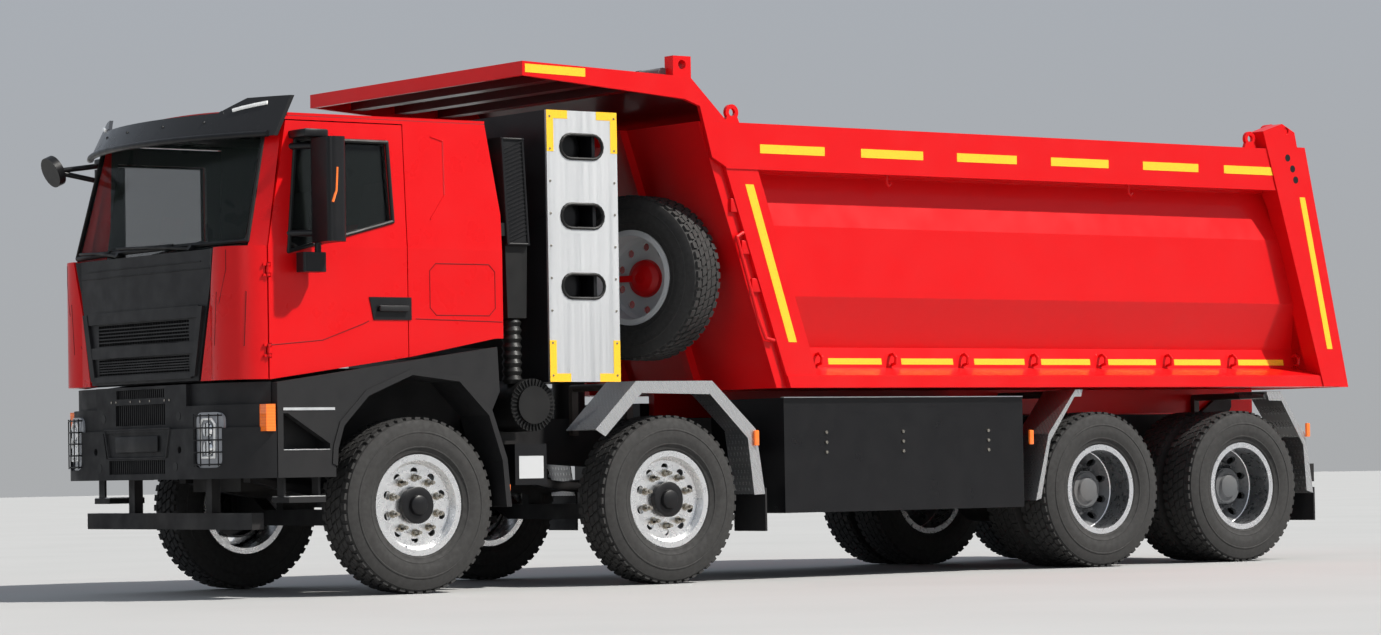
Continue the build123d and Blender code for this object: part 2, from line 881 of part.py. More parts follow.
for side in (1, -1):
    pocket = [sorted((side * (corner_lamp_x[0] - seat_gap), side * (corner_lamp_x[1] + 1)))]
    for low, high in (corner_lamp_behind, corner_lamp_z):
        pocket.append((low - seat_gap, high + seat_gap))
    bumper -= block(*pocket)
for side in (1, -1):
    bracket_x = sorted((side * (rail_x[0] - bracket_width), side * rail_x[1]))
    bumper += block(bracket_x, (-front_overhang + bumper_wall - seat_sink,
        underrun_behind[0] + underrun_step), bumper_bracket_z)
save("bumper", bumper)
lamp_body = plan_solid(bumper_outline(lamp_set_back),
    lamp_z) - plan_solid(bumper_outline(bumper_wall), lamp_z)
lamp_fit = soft_block((lamp_x[0] + seat_gap, lamp_x[1] - seat_gap), (-front_overhang, bumper_rear_behind),
                      (lamp_z[0] + seat_gap, lamp_z[1] - seat_gap), lamp_corner - seat_gap)
corner_lamp = block(corner_lamp_x, corner_lamp_behind, corner_lamp_z)
save("lamps", pair(lamp_body & lamp_fit), pair(corner_lamp))
underrun = block((-underrun_half, underrun_half), underrun_behind, underrun_z)
for side in (1, -1):
    post_x = sorted((side * underrun_post_x[0], side * underrun_post_x[1]))
    head_x = sorted((side * (rail_x[0] - bracket_width), side * underrun_post_x[1]))
    post_front = underrun_behind[0] + underrun_step
    underrun += block(post_x, (post_front, underrun_behind[1]), (underrun_z[1], underrun_head_z[1]))
    underrun += block(head_x, (post_front, rail_behind[0]), underrun_head_z)


# Cab side skin, leaning in above the waist
def side_skin(depth, thick):
    """Left side wall between a depth below the outer face and a depth plus thickness."""
    outer = ((cab_half - depth, cab_skin_low_z - skin_over), (cab_half - depth, cab_waist_z),
        (cab_top_half - depth, cab_eave_z))
    inner = [(x - thick, z) for x, z in reversed(outer)]
    return end_prism([*outer, *inner], (cab_front_behind, cab_back_behind))


door_outline = (
    (door_front_behind, door_low_z[0]), (door_front_behind, cab_waist_z), (door_top_front_behind, door_top_z),
    (door_rear_behind, door_top_z), (door_rear_behind, door_low_z[1]),
)
door_hinge = (cab_half + hinge_stand, door_front_behind - door_gap / 2)


def hinge_round(radius, low, high):
    return rod((*door_hinge, low), (*door_hinge, high), radius)


def hinge_link(depth, low, high):
    """Leaf from the hinge line, rearwards for a positive depth."""
    behind = sorted((door_hinge[1], door_hinge[1] + depth))
    return block((cab_half - hinge_leaf, cab_half + hinge_stand), behind, (low, high))


window_outline = (
    window_front, (window_top_behind[0], window_top_z), (window_top_behind[1], window_top_z), window_rear_low,
)
wide = (min(cab_half, cab_top_half) - cab_wall - side_margin, max(cab_half, cab_top_half) + side_margin)
skin = side_skin(0, cab_wall)
window_hole = side_prism(window_outline, wide)
door = (skin & side_prism(door_outline, wide)) - window_hole
for z in hinge_z:
    for low in (z - hinge_half, z + hinge_half - hinge_lug):
        door -= hinge_round(hinge_radius + moving_gap, low - moving_gap, low + hinge_lug + moving_gap)
    barrel_half = hinge_half - hinge_lug - moving_gap
    door += hinge_round(hinge_radius, z - barrel_half, z + barrel_half)
    door += hinge_link(hinge_reach, z - barrel_half, z + barrel_half)
    door -= hinge_round(hinge_pin_radius + running_gap, z - barrel_half, z + barrel_half)
window_middle = (sum(window_top_behind) / 2, (window_front[1] + window_top_z) / 2)
pane_outline = [(b + (seat_gap if b < window_middle[0] else -seat_gap),
    z + (seat_gap if z < window_middle[1] else -seat_gap))
                for b, z in window_outline]
pane = side_skin(cab_wall / 2, glass_thick) & side_prism(pane_outline, wide)
panel_outline = (
    (door_rear_behind + door_gap, door_low_z[1]), (door_rear_behind + door_gap, cab_eave_z),
    (cab_back_top_behind - cab_wall, cab_eave_z), (cab_back_behind - cab_wall, cab_back_knee_z),
    (cab_back_behind - cab_wall, cab_rear_low_z),
)
header_outline = (
    (door_top_front_behind - pillar_top_step, door_top_z + door_gap),
    (door_rear_behind + door_gap, door_top_z + door_gap),
    (door_rear_behind + door_gap, cab_eave_z), (door_top_front_behind - eave_step, cab_eave_z),
)
rear_side = skin & side_prism(panel_outline, wide)
rear_side += skin & side_prism(header_outline, wide)
low_half, low_end, low_middle = screen_low
top_half, top_end, top_middle = screen_top
pillar_foot = Polyline(
    (low_half + seat_gap, at(low_end)), (cab_half, at(door_front_behind - door_gap)),
    (cab_half - cab_wall, at(door_front_behind - door_gap)),
    (low_half + seat_gap, at(low_end + pillar_depth)), close=True,
)
pillar_head = Polyline(
    (top_half + seat_gap, at(top_end)), (cab_top_half, at(door_top_front_behind - pillar_top_step)),
    (cab_top_half - cab_wall, at(door_top_front_behind - pillar_top_step)),
    (top_half + seat_gap, at(top_end + pillar_depth / 2)), close=True,
)
pillar = loft([Pos(0, 0, cab_waist_z) * make_face(pillar_foot),
    Pos(0, 0, cab_eave_z) * make_face(pillar_head)])
save("door_left", door)
save("door_right", right(door))
save("window_left", pane)
save("window_right", right(pane))

back_outline = (
    (cab_back_behind - cab_wall, cab_rear_low_z), (cab_back_behind, cab_rear_low_z),
    (cab_back_behind, cab_back_knee_z),
    (cab_back_top_behind, cab_eave_z), (cab_back_top_behind - cab_wall, cab_eave_z),
    (cab_back_behind - cab_wall, cab_back_knee_z),
)
back_section = ((-cab_half, cab_rear_low_z), (-cab_half, cab_waist_z), (-cab_top_half, cab_eave_z),
                (cab_top_half, cab_eave_z), (cab_half, cab_waist_z), (cab_half, cab_rear_low_z))
back = side_prism(back_outline, (-cab_half, cab_half)) & end_prism(back_section, (0, cab_back_behind))
walls = back + rear_side + right(rear_side)
save("cab_walls", walls, pair(pillar))

roof_face = make_face([
    ThreePointArc((-cab_top_half, cab_eave_z + roof_edge), (0, cab_crown_z),
        (cab_top_half, cab_eave_z + roof_edge)),
    Line((cab_top_half, cab_eave_z + roof_edge), (cab_top_half, cab_eave_z)),
    Line((cab_top_half, cab_eave_z), (-cab_top_half, cab_eave_z)),
    Line((-cab_top_half, cab_eave_z), (-cab_top_half, cab_eave_z + roof_edge)),
])
roof_behind = (top_end - roof_overhang, cab_back_top_behind)
roof = extrude(Plane.XZ.offset(-at(roof_behind[1])) * roof_face, roof_behind[1] - roof_behind[0])
for side in (1, -1):
    trim = Polyline((side * roof_corner[0], at(roof_behind[0])), (side * cab_top_half, at(roof_behind[0])),
                    (side * cab_top_half, at(roof_corner[1])), close=True)
    roof -= plan_solid(make_face(trim), (cab_eave_z, cab_crown_z))
save("cab_roof", roof)

screen = loft([
    Pos(0, 0, cab_waist_z + seat_gap) * arc_band(screen_low, glass_thick * 2),
    Pos(0, 0, screen_top_z) * arc_band(screen_top, glass_thick * 2),
])
save("windscreen", screen)

visor = loft([
    Pos(0, 0, visor_z[0]) * arc_band(visor_low, visor_thick),
    Pos(0, 0, visor_z[1]) * arc_band(visor_top, visor_thick),
])
notch = list(visor_notch) + [(-x, z) for x, z in reversed(visor_notch)]
visor -= end_prism(notch, (visor_low[2], visor_top[1]))
for side in (1, -1):
    stay_z = cab_eave_z + visor_stay_radius + visor_stay_rise
    visor += rod((side * visor_stay_x, visor_top[2] + visor_stay_root, stay_z),
        (side * visor_stay_x, roof_behind[0], stay_z), visor_stay_radius)
save("sun_visor", visor)


# Cab front: hinged grille panel between two corner panels
def front_outline(inset):
    front = at(cab_front_behind + inset)
    corner = at(cab_corner_behind)
    half = cab_half - inset
    bend = (half - front_bend_inset, front + front_bend_share * (corner - front))
    outline = [
        ThreePointArc((-cab_front_flat, front + cab_front_bow), (0, front),
            (cab_front_flat, front + cab_front_bow)),
        ThreePointArc((cab_front_flat, front + cab_front_bow), bend, (half, corner)),
        Line((half, corner), (half, corner + front_ring_depth)),
        Line((half, corner + front_ring_depth), (-half, corner + front_ring_depth)),
        Line((-half, corner + front_ring_depth), (-half, corner)),
        ThreePointArc((-half, corner), (-bend[0], bend[1]), (-cab_front_flat, front + cab_front_bow)),
    ]
    return make_face(outline)


front_ring = plan_solid(front_outline(0), (cab_skin_low_z, cab_waist_z))
front_ring -= plan_solid(front_outline(panel_wall), (cab_skin_low_z, cab_waist_z))
front_ring &= block((-cab_half, cab_half), (cab_front_behind, door_front_behind - door_gap),
    (cab_skin_low_z, cab_waist_z))


def grille_shape(grow):
    low, high = panel_z
    return end_prism(
        ((-panel_low_half - grow, low - grow), (panel_low_half + grow, low - grow),
         (panel_top_half + grow, high + grow), (-panel_top_half - grow, high + grow)),
        (cab_front_behind - cut_over, door_front_behind),
    )


corners = front_ring - grille_shape(lid_side_gap)
corner = Part(max(corners.solids(), key=lambda s: s.center().X).wrapped)
for z in hinge_z:
    corner -= hinge_round(hinge_radius + moving_gap, z - hinge_half, z + hinge_half)
    for low in (z - hinge_half, z + hinge_half - hinge_lug):
        corner += hinge_round(hinge_radius, low, low + hinge_lug)
        corner += hinge_link(-hinge_reach, low, low + hinge_lug)
    corner += hinge_round(hinge_pin_radius, z - hinge_half, z + hinge_half)
save("corner_panels", pair(corner))
grille = front_ring & grille_shape(0)
for low, high in panel_mesh_z:
    window = block((-panel_mesh_half, panel_mesh_half),
        (cab_front_behind - cut_over, cab_front_behind + panel_wall + panel_window_over), (low, high))
    pitch = (high - low) / (panel_bars + 1)
    for i in range(panel_bars):
        z = low + pitch * (i + 1)
        bar = block((-panel_mesh_half, panel_mesh_half),
            (cab_front_behind + panel_bar_set, cab_front_behind + panel_bar_set + panel_bar),
                    (z - 4, z + 4))
        window -= bar
    grille -= window
for side in (1, -1):
    notch_x = sorted((side * (lid_stay_x[0] - lid_notch_gap), side * (lid_stay_x[1] + lid_notch_gap)))
    grille -= block(notch_x, (lid_hinge[0] - lid_notch_front, fire_wall_behind[0]),
        (lid_notch_z, cab_waist_z))
    bore_x = sorted((side * (lid_pin_x[0] - moving_gap), side * (lid_pin_x[1] + moving_gap)))
    grille -= bar_x(lid_pin_radius + running_gap, bore_x, *lid_hinge)
save("front_panel", grille)

floor = block((-cab_half + cab_wall + moving_gap, cab_half - cab_wall - moving_gap),
              (floor_front_behind, cab_back_behind - cab_wall), floor_z)
floor += block((-fire_wall_half, fire_wall_half), (fire_wall_behind[0], floor_front_behind), floor_z)
floor += block((-fire_wall_half, fire_wall_half), fire_wall_behind, (cab_skin_low_z, cab_waist_z))
for side in (1, -1):
    stay_x = sorted((side * lid_stay_x[0], side * lid_stay_x[1]))
    floor += block(stay_x, (lid_hinge[0], fire_wall_behind[0]),
        (lid_hinge[1] - lid_stay_half, lid_hinge[1] + lid_stay_half))
    floor += bar_x(lid_stay_half, stay_x, *lid_hinge)
    floor += bar_x(lid_pin_radius, sorted((side * lid_pin_x[0], side * lid_pin_x[1])), *lid_hinge)
floor += block((-tunnel_half, tunnel_half), (fire_wall_behind[0], cab_back_behind - cab_wall),
    (floor_z[0], tunnel_z))
save("cab_floor", floor)

dash = side_prism(dash_points, (-dash_half, dash_half)) - block(
    (-tunnel_half - 1, tunnel_half + 1), (dash_points[0][0] - 1, dash_points[3][0] + 1),
    (floor_z[1], tunnel_z + seat_gap))
hub_x, hub_behind, hub_height = wheel_hub
tilt = Plane(origin=(hub_x, at(hub_behind), hub_height), x_dir=(1, 0, 0),
             z_dir=(0, cos(radians(wheel_tilt)), sin(radians(wheel_tilt))))
ring = tilt * Torus(wheel_ring_radius, wheel_ring_thick)
spoke = tilt * Box(2 * wheel_ring_radius, wheel_spoke[0], wheel_spoke[1])
column_end = (hub_x, hub_behind - column_length * cos(radians(wheel_tilt)),
    hub_height - column_length * sin(radians(wheel_tilt)))
column = rod(column_end, wheel_hub, column_radius)
dash += ring + spoke + column
seat = side_prism(seat_points, seat_x)
seat_span = [b for b, _ in seat_points]
seat -= block((0, tunnel_half + 1), (min(seat_span), max(seat_span)), (floor_z[1], tunnel_z + seat_gap))
save("cab_interior", dash, pair(seat))


# Mirrors
def door_mirror():
    shell = block(mirror_x, mirror_behind, mirror_z)
    shell = fillet(shell.edges().filter_by(Axis.Z), mirror_corner)
    behind = (mirror_behind[0] + mirror_behind[1]) / 2
    for z in (mirror_z[0] + mirror_arm_inset[0], mirror_z[1] - mirror_arm_inset[1]):
        foot_behind = (edge_at(door_outline[1:3], z) + edge_at(window_outline[0:2], z)) / 2
        shell += rod((cab_top_half - cab_wall / 2, foot_behind, z),
            (mirror_x[0] + mirror_arm_sink, behind, z), mirror_arm_radius) - skin
    kerb = fillet(block(kerb_mirror_x, kerb_mirror_behind, kerb_mirror_z).edges().filter_by(Axis.Z),
        mirror_corner / 2)
    stem = (sum(kerb_mirror_x) / 2, mirror_behind[0] + mirror_arm_radius * 2)
    shell += kerb + rod((*stem, kerb_mirror_z[1] - mirror_arm_radius),
        (*stem, mirror_z[0] + mirror_arm_radius), mirror_arm_radius)
    return largest(shell)


save("mirror_left", door_mirror())
save("mirror_right", right(door_mirror()))
mx, mb, mz = round_mirror
disc = rod((mx, mb - round_mirror_half, mz - round_mirror_lean),
    (mx, mb + round_mirror_half, mz + round_mirror_lean), round_mirror_radius)
for z in (mz + round_mirror_arms[0], mz - round_mirror_arms[1]):
    disc += rod((mx, mb, mz), (-round_mirror_foot[0], round_mirror_foot[1], z), round_mirror_arm)
save("front_mirror", largest(disc - right(pillar)))


# Front fenders with steps
def arch_points(behind, z, grow):
    return [(behind + (r + grow) * cos(radians(a)), z + (r + grow) * sin(radians(a))) for a, r in fender_arch]


def front_fender():
    inner = arch_points(0, hub_z, 0)
    outer = arch_points(0, hub_z, fender_band)
    band = side_prism(inner + outer[::-1], fender_x)
    slope = (door_low_z[1] - door_low_z[0]) / (door_rear_behind - door_front_behind)
    top = [(b, door_low_z[0] - valance_gap + slope * (b - door_front_behind))
        for b in (step_box_behind[0], valance_rear_behind)]
    valance = side_prism([top[0], top[1],
        (outer[2][0] + valance_step[0], outer[2][1] + valance_step[1])] + outer[2:8]
                         + [(step_box_behind[0], valance_front_z)], valance_x)
    box = block((fender_x[0], valance_x[1]), step_box_behind, (step_box_z[0], top[0][1]))
    box -= block((step_recess_x, valance_x[1] + 1),
        (step_box_behind[0] + step_recess_inset, step_box_behind[1] - step_recess_inset), step_recess_z)
    step = block(low_step_x, low_step_behind, low_step_z)
    for b in low_step_behind:
        span = sorted((b, b + (step_strap if b == low_step_behind[0] else -step_strap)))
        step += block((low_step_x[0] + step_strap_inset, low_step_x[1] - step_strap_inset), span,
            (low_step_z[0], step_box_z[0]))
    arm = block((rail_x[1], fender_x[0] + bracket_sink), fender_bracket_behind, fender_bracket_z)
    return band + valance + box + step + arm


# Chequer plate fenders with their arms
def outward(points, distance):
    """The points moved away from the middle of the wheel arch."""
    middle = Vector(sum(b for b, _ in points) / len(points), hub_z)
    moved = [Vector(*point) + (Vector(*point) - middle).normalized() * distance for point in points]
    return [(place.X, place.Y) for place in moved]


def plate_band(points, lip):
    """Bent plate through a few points, with a lip folded down along its outer side."""
    top = outward(points, plate_thick)
    plate = side_prism(list(points) + top[::-1], plate_x)
    return plate + side_prism(top + outward(points, -lip)[::-1], (plate_x[1] - lip_thick, plate_x[1]))


fenders = []
for points, first, lip in plate_fender_table:
    plate = plate_band(points, lip)
    (start, z), (end, _) = points[first], points[first + 1]
    arms = (start + fender_arm_inset,
        end - fender_arm_inset) if end - start > single_arm_span else ((start + end) / 2,)
    for b in arms:
        arm_z = z - fender_arm_radius + fender_arm_sink
        plate += bar_x(fender_arm_radius, (rail_x[1], plate_x[1] - fender_arm_inset), b, arm_z)
        plate += block((rail_x[1], rail_x[1] + fender_post), (b - fender_arm_radius, b + fender_arm_radius),
                       (fender_post_z, arm_z))
    fenders.extend(pair(plate))
save("plate_fenders", fenders)
flap_solids = []
for behind, low, high, inner in flaps:
    flap_solids.extend(pair(block((inner, plate_x[1]), (behind, behind + flap_thick), (low, high))))
save("fenders_and_flaps", pair(front_fender()), flap_solids)


# Gas rack behind the cab, its end plates and cylinders
rack = block((-rack_half, rack_half), rack_behind, rack_z)
rack -= block((-rack_half - 1, rack_half + 1), (rack_behind[0] + rack_wall, rack_behind[1] - rack_wall),
              (rack_z[0] + rack_wall, rack_z[1] - rack_wall))
for side in (1, -1):
    leg_x = sorted((side * rack_leg_x[0], side * rack_leg_x[1]))
    rack += block(leg_x, rack_behind, (rail_z[1], rack_z[0]))
rack_middle = sum(rack_behind) / 2
for z in oval_z:
    for x in (-cradle_x, cradle_x):
        cradle = block((x - cradle_half, x + cradle_half),
            (rack_behind[0] + rack_wall, rack_behind[1] - rack_wall),
                       (z - gas_radius - cradle_under, z - gas_radius / 2))
        rack += cradle - bar_x(gas_radius + seat_gap, (-gas_half, gas_half), rack_middle, z)
end_plate = block(end_plate_x, end_plate_behind, rack_z)
for z in oval_z:
    half = (oval_length - oval_height) / 2
    end_plate -= block(end_plate_x, (oval_behind - half, oval_behind + half),
        (z - oval_height / 2, z + oval_height / 2))
    for b in (oval_behind - half, oval_behind + half):
        end_plate -= bar_x(oval_height / 2, end_plate_x, b, z)
save("rack_plates", pair(end_plate))
bottles = [fillet(bar_x(gas_radius, (-gas_half, gas_half), rack_middle, z).edges(), gas_shoulder)
    for z in oval_z]
save("gas_rack", rack, bottles)


# Air intake, filter and service box
def intake():
    top_b, top_z = intake_top
    low_b, low_z = intake_low
    housing = side_prism(((top_b, top_z), (top_b + intake_depth, top_z), (low_b + intake_depth, low_z),
        (low_b, low_z)),
                         intake_x)
    pitch = (top_z - low_z - 2 * louvre_margin) / intake_louvres
    for i in range(intake_louvres):
        z = low_z + louvre_margin + pitch * (i + 0.5)
        b = low_b + (top_b - low_b) * (z - low_z) / (top_z - low_z)
        housing -= block((intake_x[1] - louvre_depth, intake_x[1] + 1),
            (b + louvre_inset, b + intake_depth - louvre_inset), (z - louvre_half, z + louvre_half))
    middle = low_b + intake_depth / 2
    housing += side_prism(((low_b, low_z), (low_b + intake_depth, low_z), (middle + duct_half, duct_z),
        (middle - duct_half, duct_z)),
                          (intake_x[0] + duct_inset, intake_x[1] - duct_inset))
    x = sum(intake_x) / 2
    f_behind, f_z = filter_place
    hose_low = f_z + filter_radius - hose_sink
    profile = [(0, hose_low), (hose_radius, hose_low)]
    pitch = (duct_z - hose_low) / hose_rings
    for i in range(hose_rings):
        profile += [(hose_radius + hose_fold, hose_low + pitch * (i + 0.5)),
            (hose_radius, hose_low + pitch * (i + 1))]
    profile += [(0, duct_z)]
    hose = revolve(Plane.XZ * make_face(Polyline(*profile, close=True)), Axis.Z)
    housing += Pos(x, at(middle), 0) * hose
    housing += bar_x(filter_radius, filter_x, f_behind, f_z)
    housing += bar_x(filter_radius * filter_cap_share, (filter_x[1], filter_x[1] + filter_cap_depth),
        f_behind, f_z)
    housing += block((rail_x[1], filter_x[0]),
        (f_behind - filter_bracket_half, f_behind + filter_bracket_half),
        (rail_z[1] - filter_bracket_depth, rail_z[1]))
    return housing + block(intake_x, (cab_back_behind, low_b + intake_foot_sink),
        (low_z + intake_foot_z[0], low_z + intake_foot_z[1]))


save("air_intake", intake())
service = block(service_x, service_behind, service_z)
service += block((rail_x[1], service_x[0]),
    (service_behind[0] + service_bracket_inset, service_behind[1] - service_bracket_inset),
    (rail_z[0] + service_bracket_rise, service_z[1]))
side_box = block(side_box_x, side_box_behind, side_box_z)
save("side_boxes", pair(side_box) + [service])


# Rear bar
bar = block((-rear_bar_half, rear_bar_half), rear_bar_behind, rear_bar_z)
for side in (1, -1):
    bar += side_prism(
        ((rail_behind[1] - hanger_root, rail_z[0]), (rail_behind[1], rail_z[0]),
            (rear_bar_behind[0] + hanger_sink, rear_bar_z[1]),
         (rear_bar_behind[0] + hanger_sink, rear_bar_z[0]), (rear_bar_behind[0] - hanger_toe, rear_bar_z[0])),
        sorted((side * (rail_x[0] - hanger_thick), side * rail_x[1])),
    )
save("underrun_bars", underrun, bar)


# Tipping bed
def slanted(edge, shift, z):
    return (edge_at(edge, z) + shift, z)


def bed_floor():
    deck = block((-bed_floor_half, bed_floor_half),
        (edge_at(front_edge, bed_floor_z[0]) + 2, bed_beam_behind[1]), bed_floor_z)
    span = bed_beam_behind[1] - bed_beam_behind[0] - 2 * bearer_half
    for i in range(bearers):
        b = bed_beam_behind[0] + bearer_half + span * i / (bearers - 1)
        deck += block((-bed_floor_half, bed_floor_half), (b - bearer_half, b + bearer_half),
            (bed_beam_z[1], bed_floor_z[0]))
    for side in (1, -1):
        x = sorted((side * bed_beam_x[0], side * bed_beam_x[1]))
        beam = block(x, bed_beam_behind, bed_beam_z)
        beam += bar_x(tip_boss_radius, x, *tip_pivot)
        beam -= bar_x(tip_pin_radius + running_gap, x, *tip_pivot)
        deck += beam
    return deck


def bed_side():
    rail_front = [slanted(front_edge, 0, z) for z in rail_top_z]
    rail_rear = [slanted(rear_edge, 0, z) for z in rail_top_z[::-1]]
    side = side_prism(rail_front + rail_rear, (rail_inner_x, bed_half))
    low_front = [slanted(front_edge, 0, z) for z in low_rail_z]
    low_rear = [slanted(rear_edge, 0, z) for z in low_rail_z[::-1]]
    side += side_prism(low_front + low_rear, (bed_floor_half, bed_half))
    inner = [(x - wall_thick, z) for x, z in reversed(wall_outline)]
    wall = [wall_lip[0], *wall_outline, *inner[:-1], (inner[-1][0], wall_lip[1][1]), wall_lip[1]]
    shelf = ((wall_outline[3][0], low_rail_z[1] - shelf_edge),
        (bed_half - shelf_edge, low_rail_z[1] - shelf_edge),
             (bed_half - shelf_edge, low_rail_z[1] + shelf_edge), (wall_outline[3][0], shelf_z))
    skin = end_prism(wall, (front_edge[0][0], rear_edge[1][0])) + end_prism(shelf,
        (front_edge[0][0], rear_edge[1][0]))
    limits = [slanted(front_edge, 0, rail_top_z[1]), slanted(front_edge, 0, low_rail_z[0]),
              slanted(rear_edge, 0, low_rail_z[0]), slanted(rear_edge, 0, rail_top_z[1])]
    side += skin & side_prism(limits, (bed_floor_half - skin_over, bed_half))
    post = [slanted(front_edge, 0, rail_top_z[0]), slanted(front_edge, front_post_width, rail_top_z[0]),
            slanted(front_edge, front_post_width, low_rail_z[1]), slanted(front_edge, 0, low_rail_z[1])]
    side += side_prism(post, (rail_inner_x, front_post_half))
    rear = list(rear_post_top) + [(rear_post_low_behind, low_rail_z[0]), rear_edge[1]]
    side += side_prism(rear, (rear_post_inner_x, rear_post_half))
    for b in eye_behind:
        eye = side_prism(((b - eye_foot_half, rail_top_z[1]), (b + eye_foot_half, rail_top_z[1]),
            (b + eye_neck_half, rail_top_z[1] + eye_height - eye_radius),
                          (b - eye_neck_half, rail_top_z[1] + eye_height - eye_radius)), eye_x)
        eye += bar_x(eye_radius, eye_x, b, rail_top_z[1] + eye_height - eye_radius)
        side += eye - bar_x(eye_bore_radius, eye_x, b, rail_top_z[1] + eye_height - eye_radius)
    side -= bar_x(gate_pin_radius + running_gap, (rear_post_inner_x, rear_post_half), *gate_pivot)
    return side


spare_place = Pos(spare_x, at(spare_behind), spare_z) * Rot(0, 0, spare_turn)
spare_home = -axle_1_y


def spare_carrier():
    """Arm, pin and clamp along the spare wheel's axis, made at the origin."""
    front, rear = front_disc_x[0] - seat_gap, front_disc_x[1] + seat_gap
    half = carrier_arm / 2
    carrier = block((rear, carrier_reach), (spare_home - half, spare_home + half), (-half, half))
    carrier += bar_x(carrier_pin_radius, (front, rear), spare_home, 0)
    profile = [(front, 0)] + [(front - depth, radius) for depth, radius in clamp_outline]
    carrier += turned(profile + [(profile[-1][0], 0)], 0, spare_home, 0)
    bar_front = front - clamp_bar_stand - clamp_bar
    carrier += block((bar_front, bar_front + clamp_bar), (spare_home, spare_home + clamp_bar_length),
                     (-clamp_bar / 2, clamp_bar / 2))
    return carrier


def headboard():
    back = [slanted(front_edge, -1, z) for z in (low_rail_z[0], rail_top_z[1])]
    plate = side_prism([*back, *[(b - headboard_thick, z) for b, z in reversed(back)]],
        (-headboard_half, headboard_half))
    for x in headboard_ribs:
        rib = [(b - headboard_thick, z) for b, z in back]
        plate += side_prism([*rib, *[(b - headboard_rib, z) for b, z in reversed(rib)]],
            (x - headboard_rib_half, x + headboard_rib_half))
    plate += spare_place * spare_carrier()
    eye_rear = edge_at(front_edge, hoist_eye_z) - headboard_thick + hoist_ear_sink
    for side in (1, -1):
        ear_x = sorted((side * hoist_ear_x[0], side * hoist_ear_x[1]))
        ear = block(ear_x, (hoist_behind - hoist_ear_front, eye_rear),
            (hoist_eye_z - hoist_ear_drop, rail_top_z[1] + hoist_ear_rise))
        plate += ear
    return plate


def canopy():
    tip = canopy_tip_behind
    rear_top = (canopy_rear_behind, rail_top_z[1] + seat_gap)
    top = [(tip, canopy_tip_z[1]), canopy_knee, rear_top]
    under = [canopy_low[2], canopy_low[1], canopy_low[0], (tip, canopy_tip_z[0])]
    seat = [(edge_at(front_edge, rail_top_z[1]) - seat_gap, rail_top_z[1] + seat_gap),
            (edge_at(front_edge, canopy_seat_z) - seat_gap, canopy_seat_z)]
    cheek = side_prism(top + seat + under, cheek_x)
    skin_low = [(b, z - canopy_skin) for b, z in top[:2]]
    skin = side_prism([*top, (rear_top[0] - canopy_rear_wall, rear_top[1]), *skin_low[::-1]],
        (-cheek_x[0], cheek_x[0]))
    lip = block((-cheek_x[0], cheek_x[0]), (tip, tip + canopy_skin), canopy_tip_z)
    whole = skin + lip
    for part in pair(cheek):
        whole += part
    slope = (canopy_knee[1] - canopy_tip_z[1]) / (canopy_knee[0] - tip)
    for b in canopy_beams:
        under_z = canopy_tip_z[1] + slope * (b - tip) - canopy_skin
        beam_z = (under_z - canopy_beam_depth, under_z + canopy_skin / 2)
        whole += block((-cheek_x[0], cheek_x[0]),
            (b - canopy_beam_width / 2, b + canopy_beam_width / 2), beam_z)
    bracket = block(tarp_bracket_x, tarp_bracket_behind, (canopy_knee[1] - tarp_bracket_sink, tarp_bracket_z))
    bracket -= bar_x(tarp_hole_radius, tarp_bracket_x, sum(tarp_bracket_behind) / 2,
        tarp_bracket_z - tarp_hole_drop)
    for part in pair(bracket):
        whole += part
    return whole


def tailgate():
    line = (rear_post_top[2], (rear_post_low_behind, low_rail_z[0]))
    front = [(edge_at(line, z) + gate_gap, z) for z in (gate_low_z, gate_top_z)]
    rear = [(tail_behind, gate_low_z), (front[1][0] + gate_thick, gate_top_z)]
    gate = side_prism([*front, rear[1], rear[0]], (-gate_half, gate_half))
    for side in (1, -1):
        x = sorted((side * gate_ear_x[0], side * gate_ear_x[1]))
        ear = side_prism(
            ((gate_pivot[0] - gate_ear_back, gate_pivot[1] - gate_ear_drop),
                (gate_pivot[0] + gate_ear_front, gate_pivot[1] + gate_ear_radius - 2),
             (rear[1][0], gate_top_z), (front[1][0], gate_top_z - gate_ear_foot)), x)
        ear += bar_x(gate_ear_radius, x, *gate_pivot)
        gate += ear
        gate += bar_x(gate_pin_radius, sorted((side * gate_ear_x[0], side * bed_half)), *gate_pivot)
    return gate


save("bed_floor", bed_floor())
save("bed_sides", pair(bed_side()))
save("headboard", headboard())
save("canopy", canopy())
save("tailgate", tailgate())
save("spare_tyre", spare_place * tyre(0, spare_home, 0))
save("spare_rim", spare_place * front_rim(1, spare_home, 0, 0, False))


# Telescopic hoist: barrel and three stages
def hoist_tube(step):
    outer = hoist_radius[step]
    low = hoist_low_z + stage_rise * step
    high = hoist_top_z + hoist_step * step
    tube = rod((0, hoist_behind, low), (0, hoist_behind, high), outer)
    if step < len(hoist_radius) - 1:
        bore = hoist_radius[step + 1] + hoist_slip
        tube -= rod((0, hoist_behind, low + hoist_end_wall), (0, hoist_behind, high), bore)
    return tube


barrel = hoist_tube(0) + bar_x(trunnion_radius, (-trunnion_x[1], trunnion_x[1]), hoist_behind, hoist_foot_z)
barrel -= rod((0, hoist_behind, hoist_low_z + hoist_end_wall), (0, hoist_behind, hoist_top_z),
    hoist_radius[1] + hoist_slip)
save("hoist_barrel", barrel)
for step in (1, 2):
    save(f"hoist_stage_{step}", hoist_tube(step))
last = hoist_tube(3) + rod((0, hoist_behind, hoist_top_z), (0, hoist_behind, hoist_eye_z),
    hoist_radius[3] - hoist_neck_step)
last += bar_x(hoist_eye_radius, (-hoist_eye_half, hoist_eye_half), hoist_behind, hoist_eye_z)
save("hoist_stage_3", last)
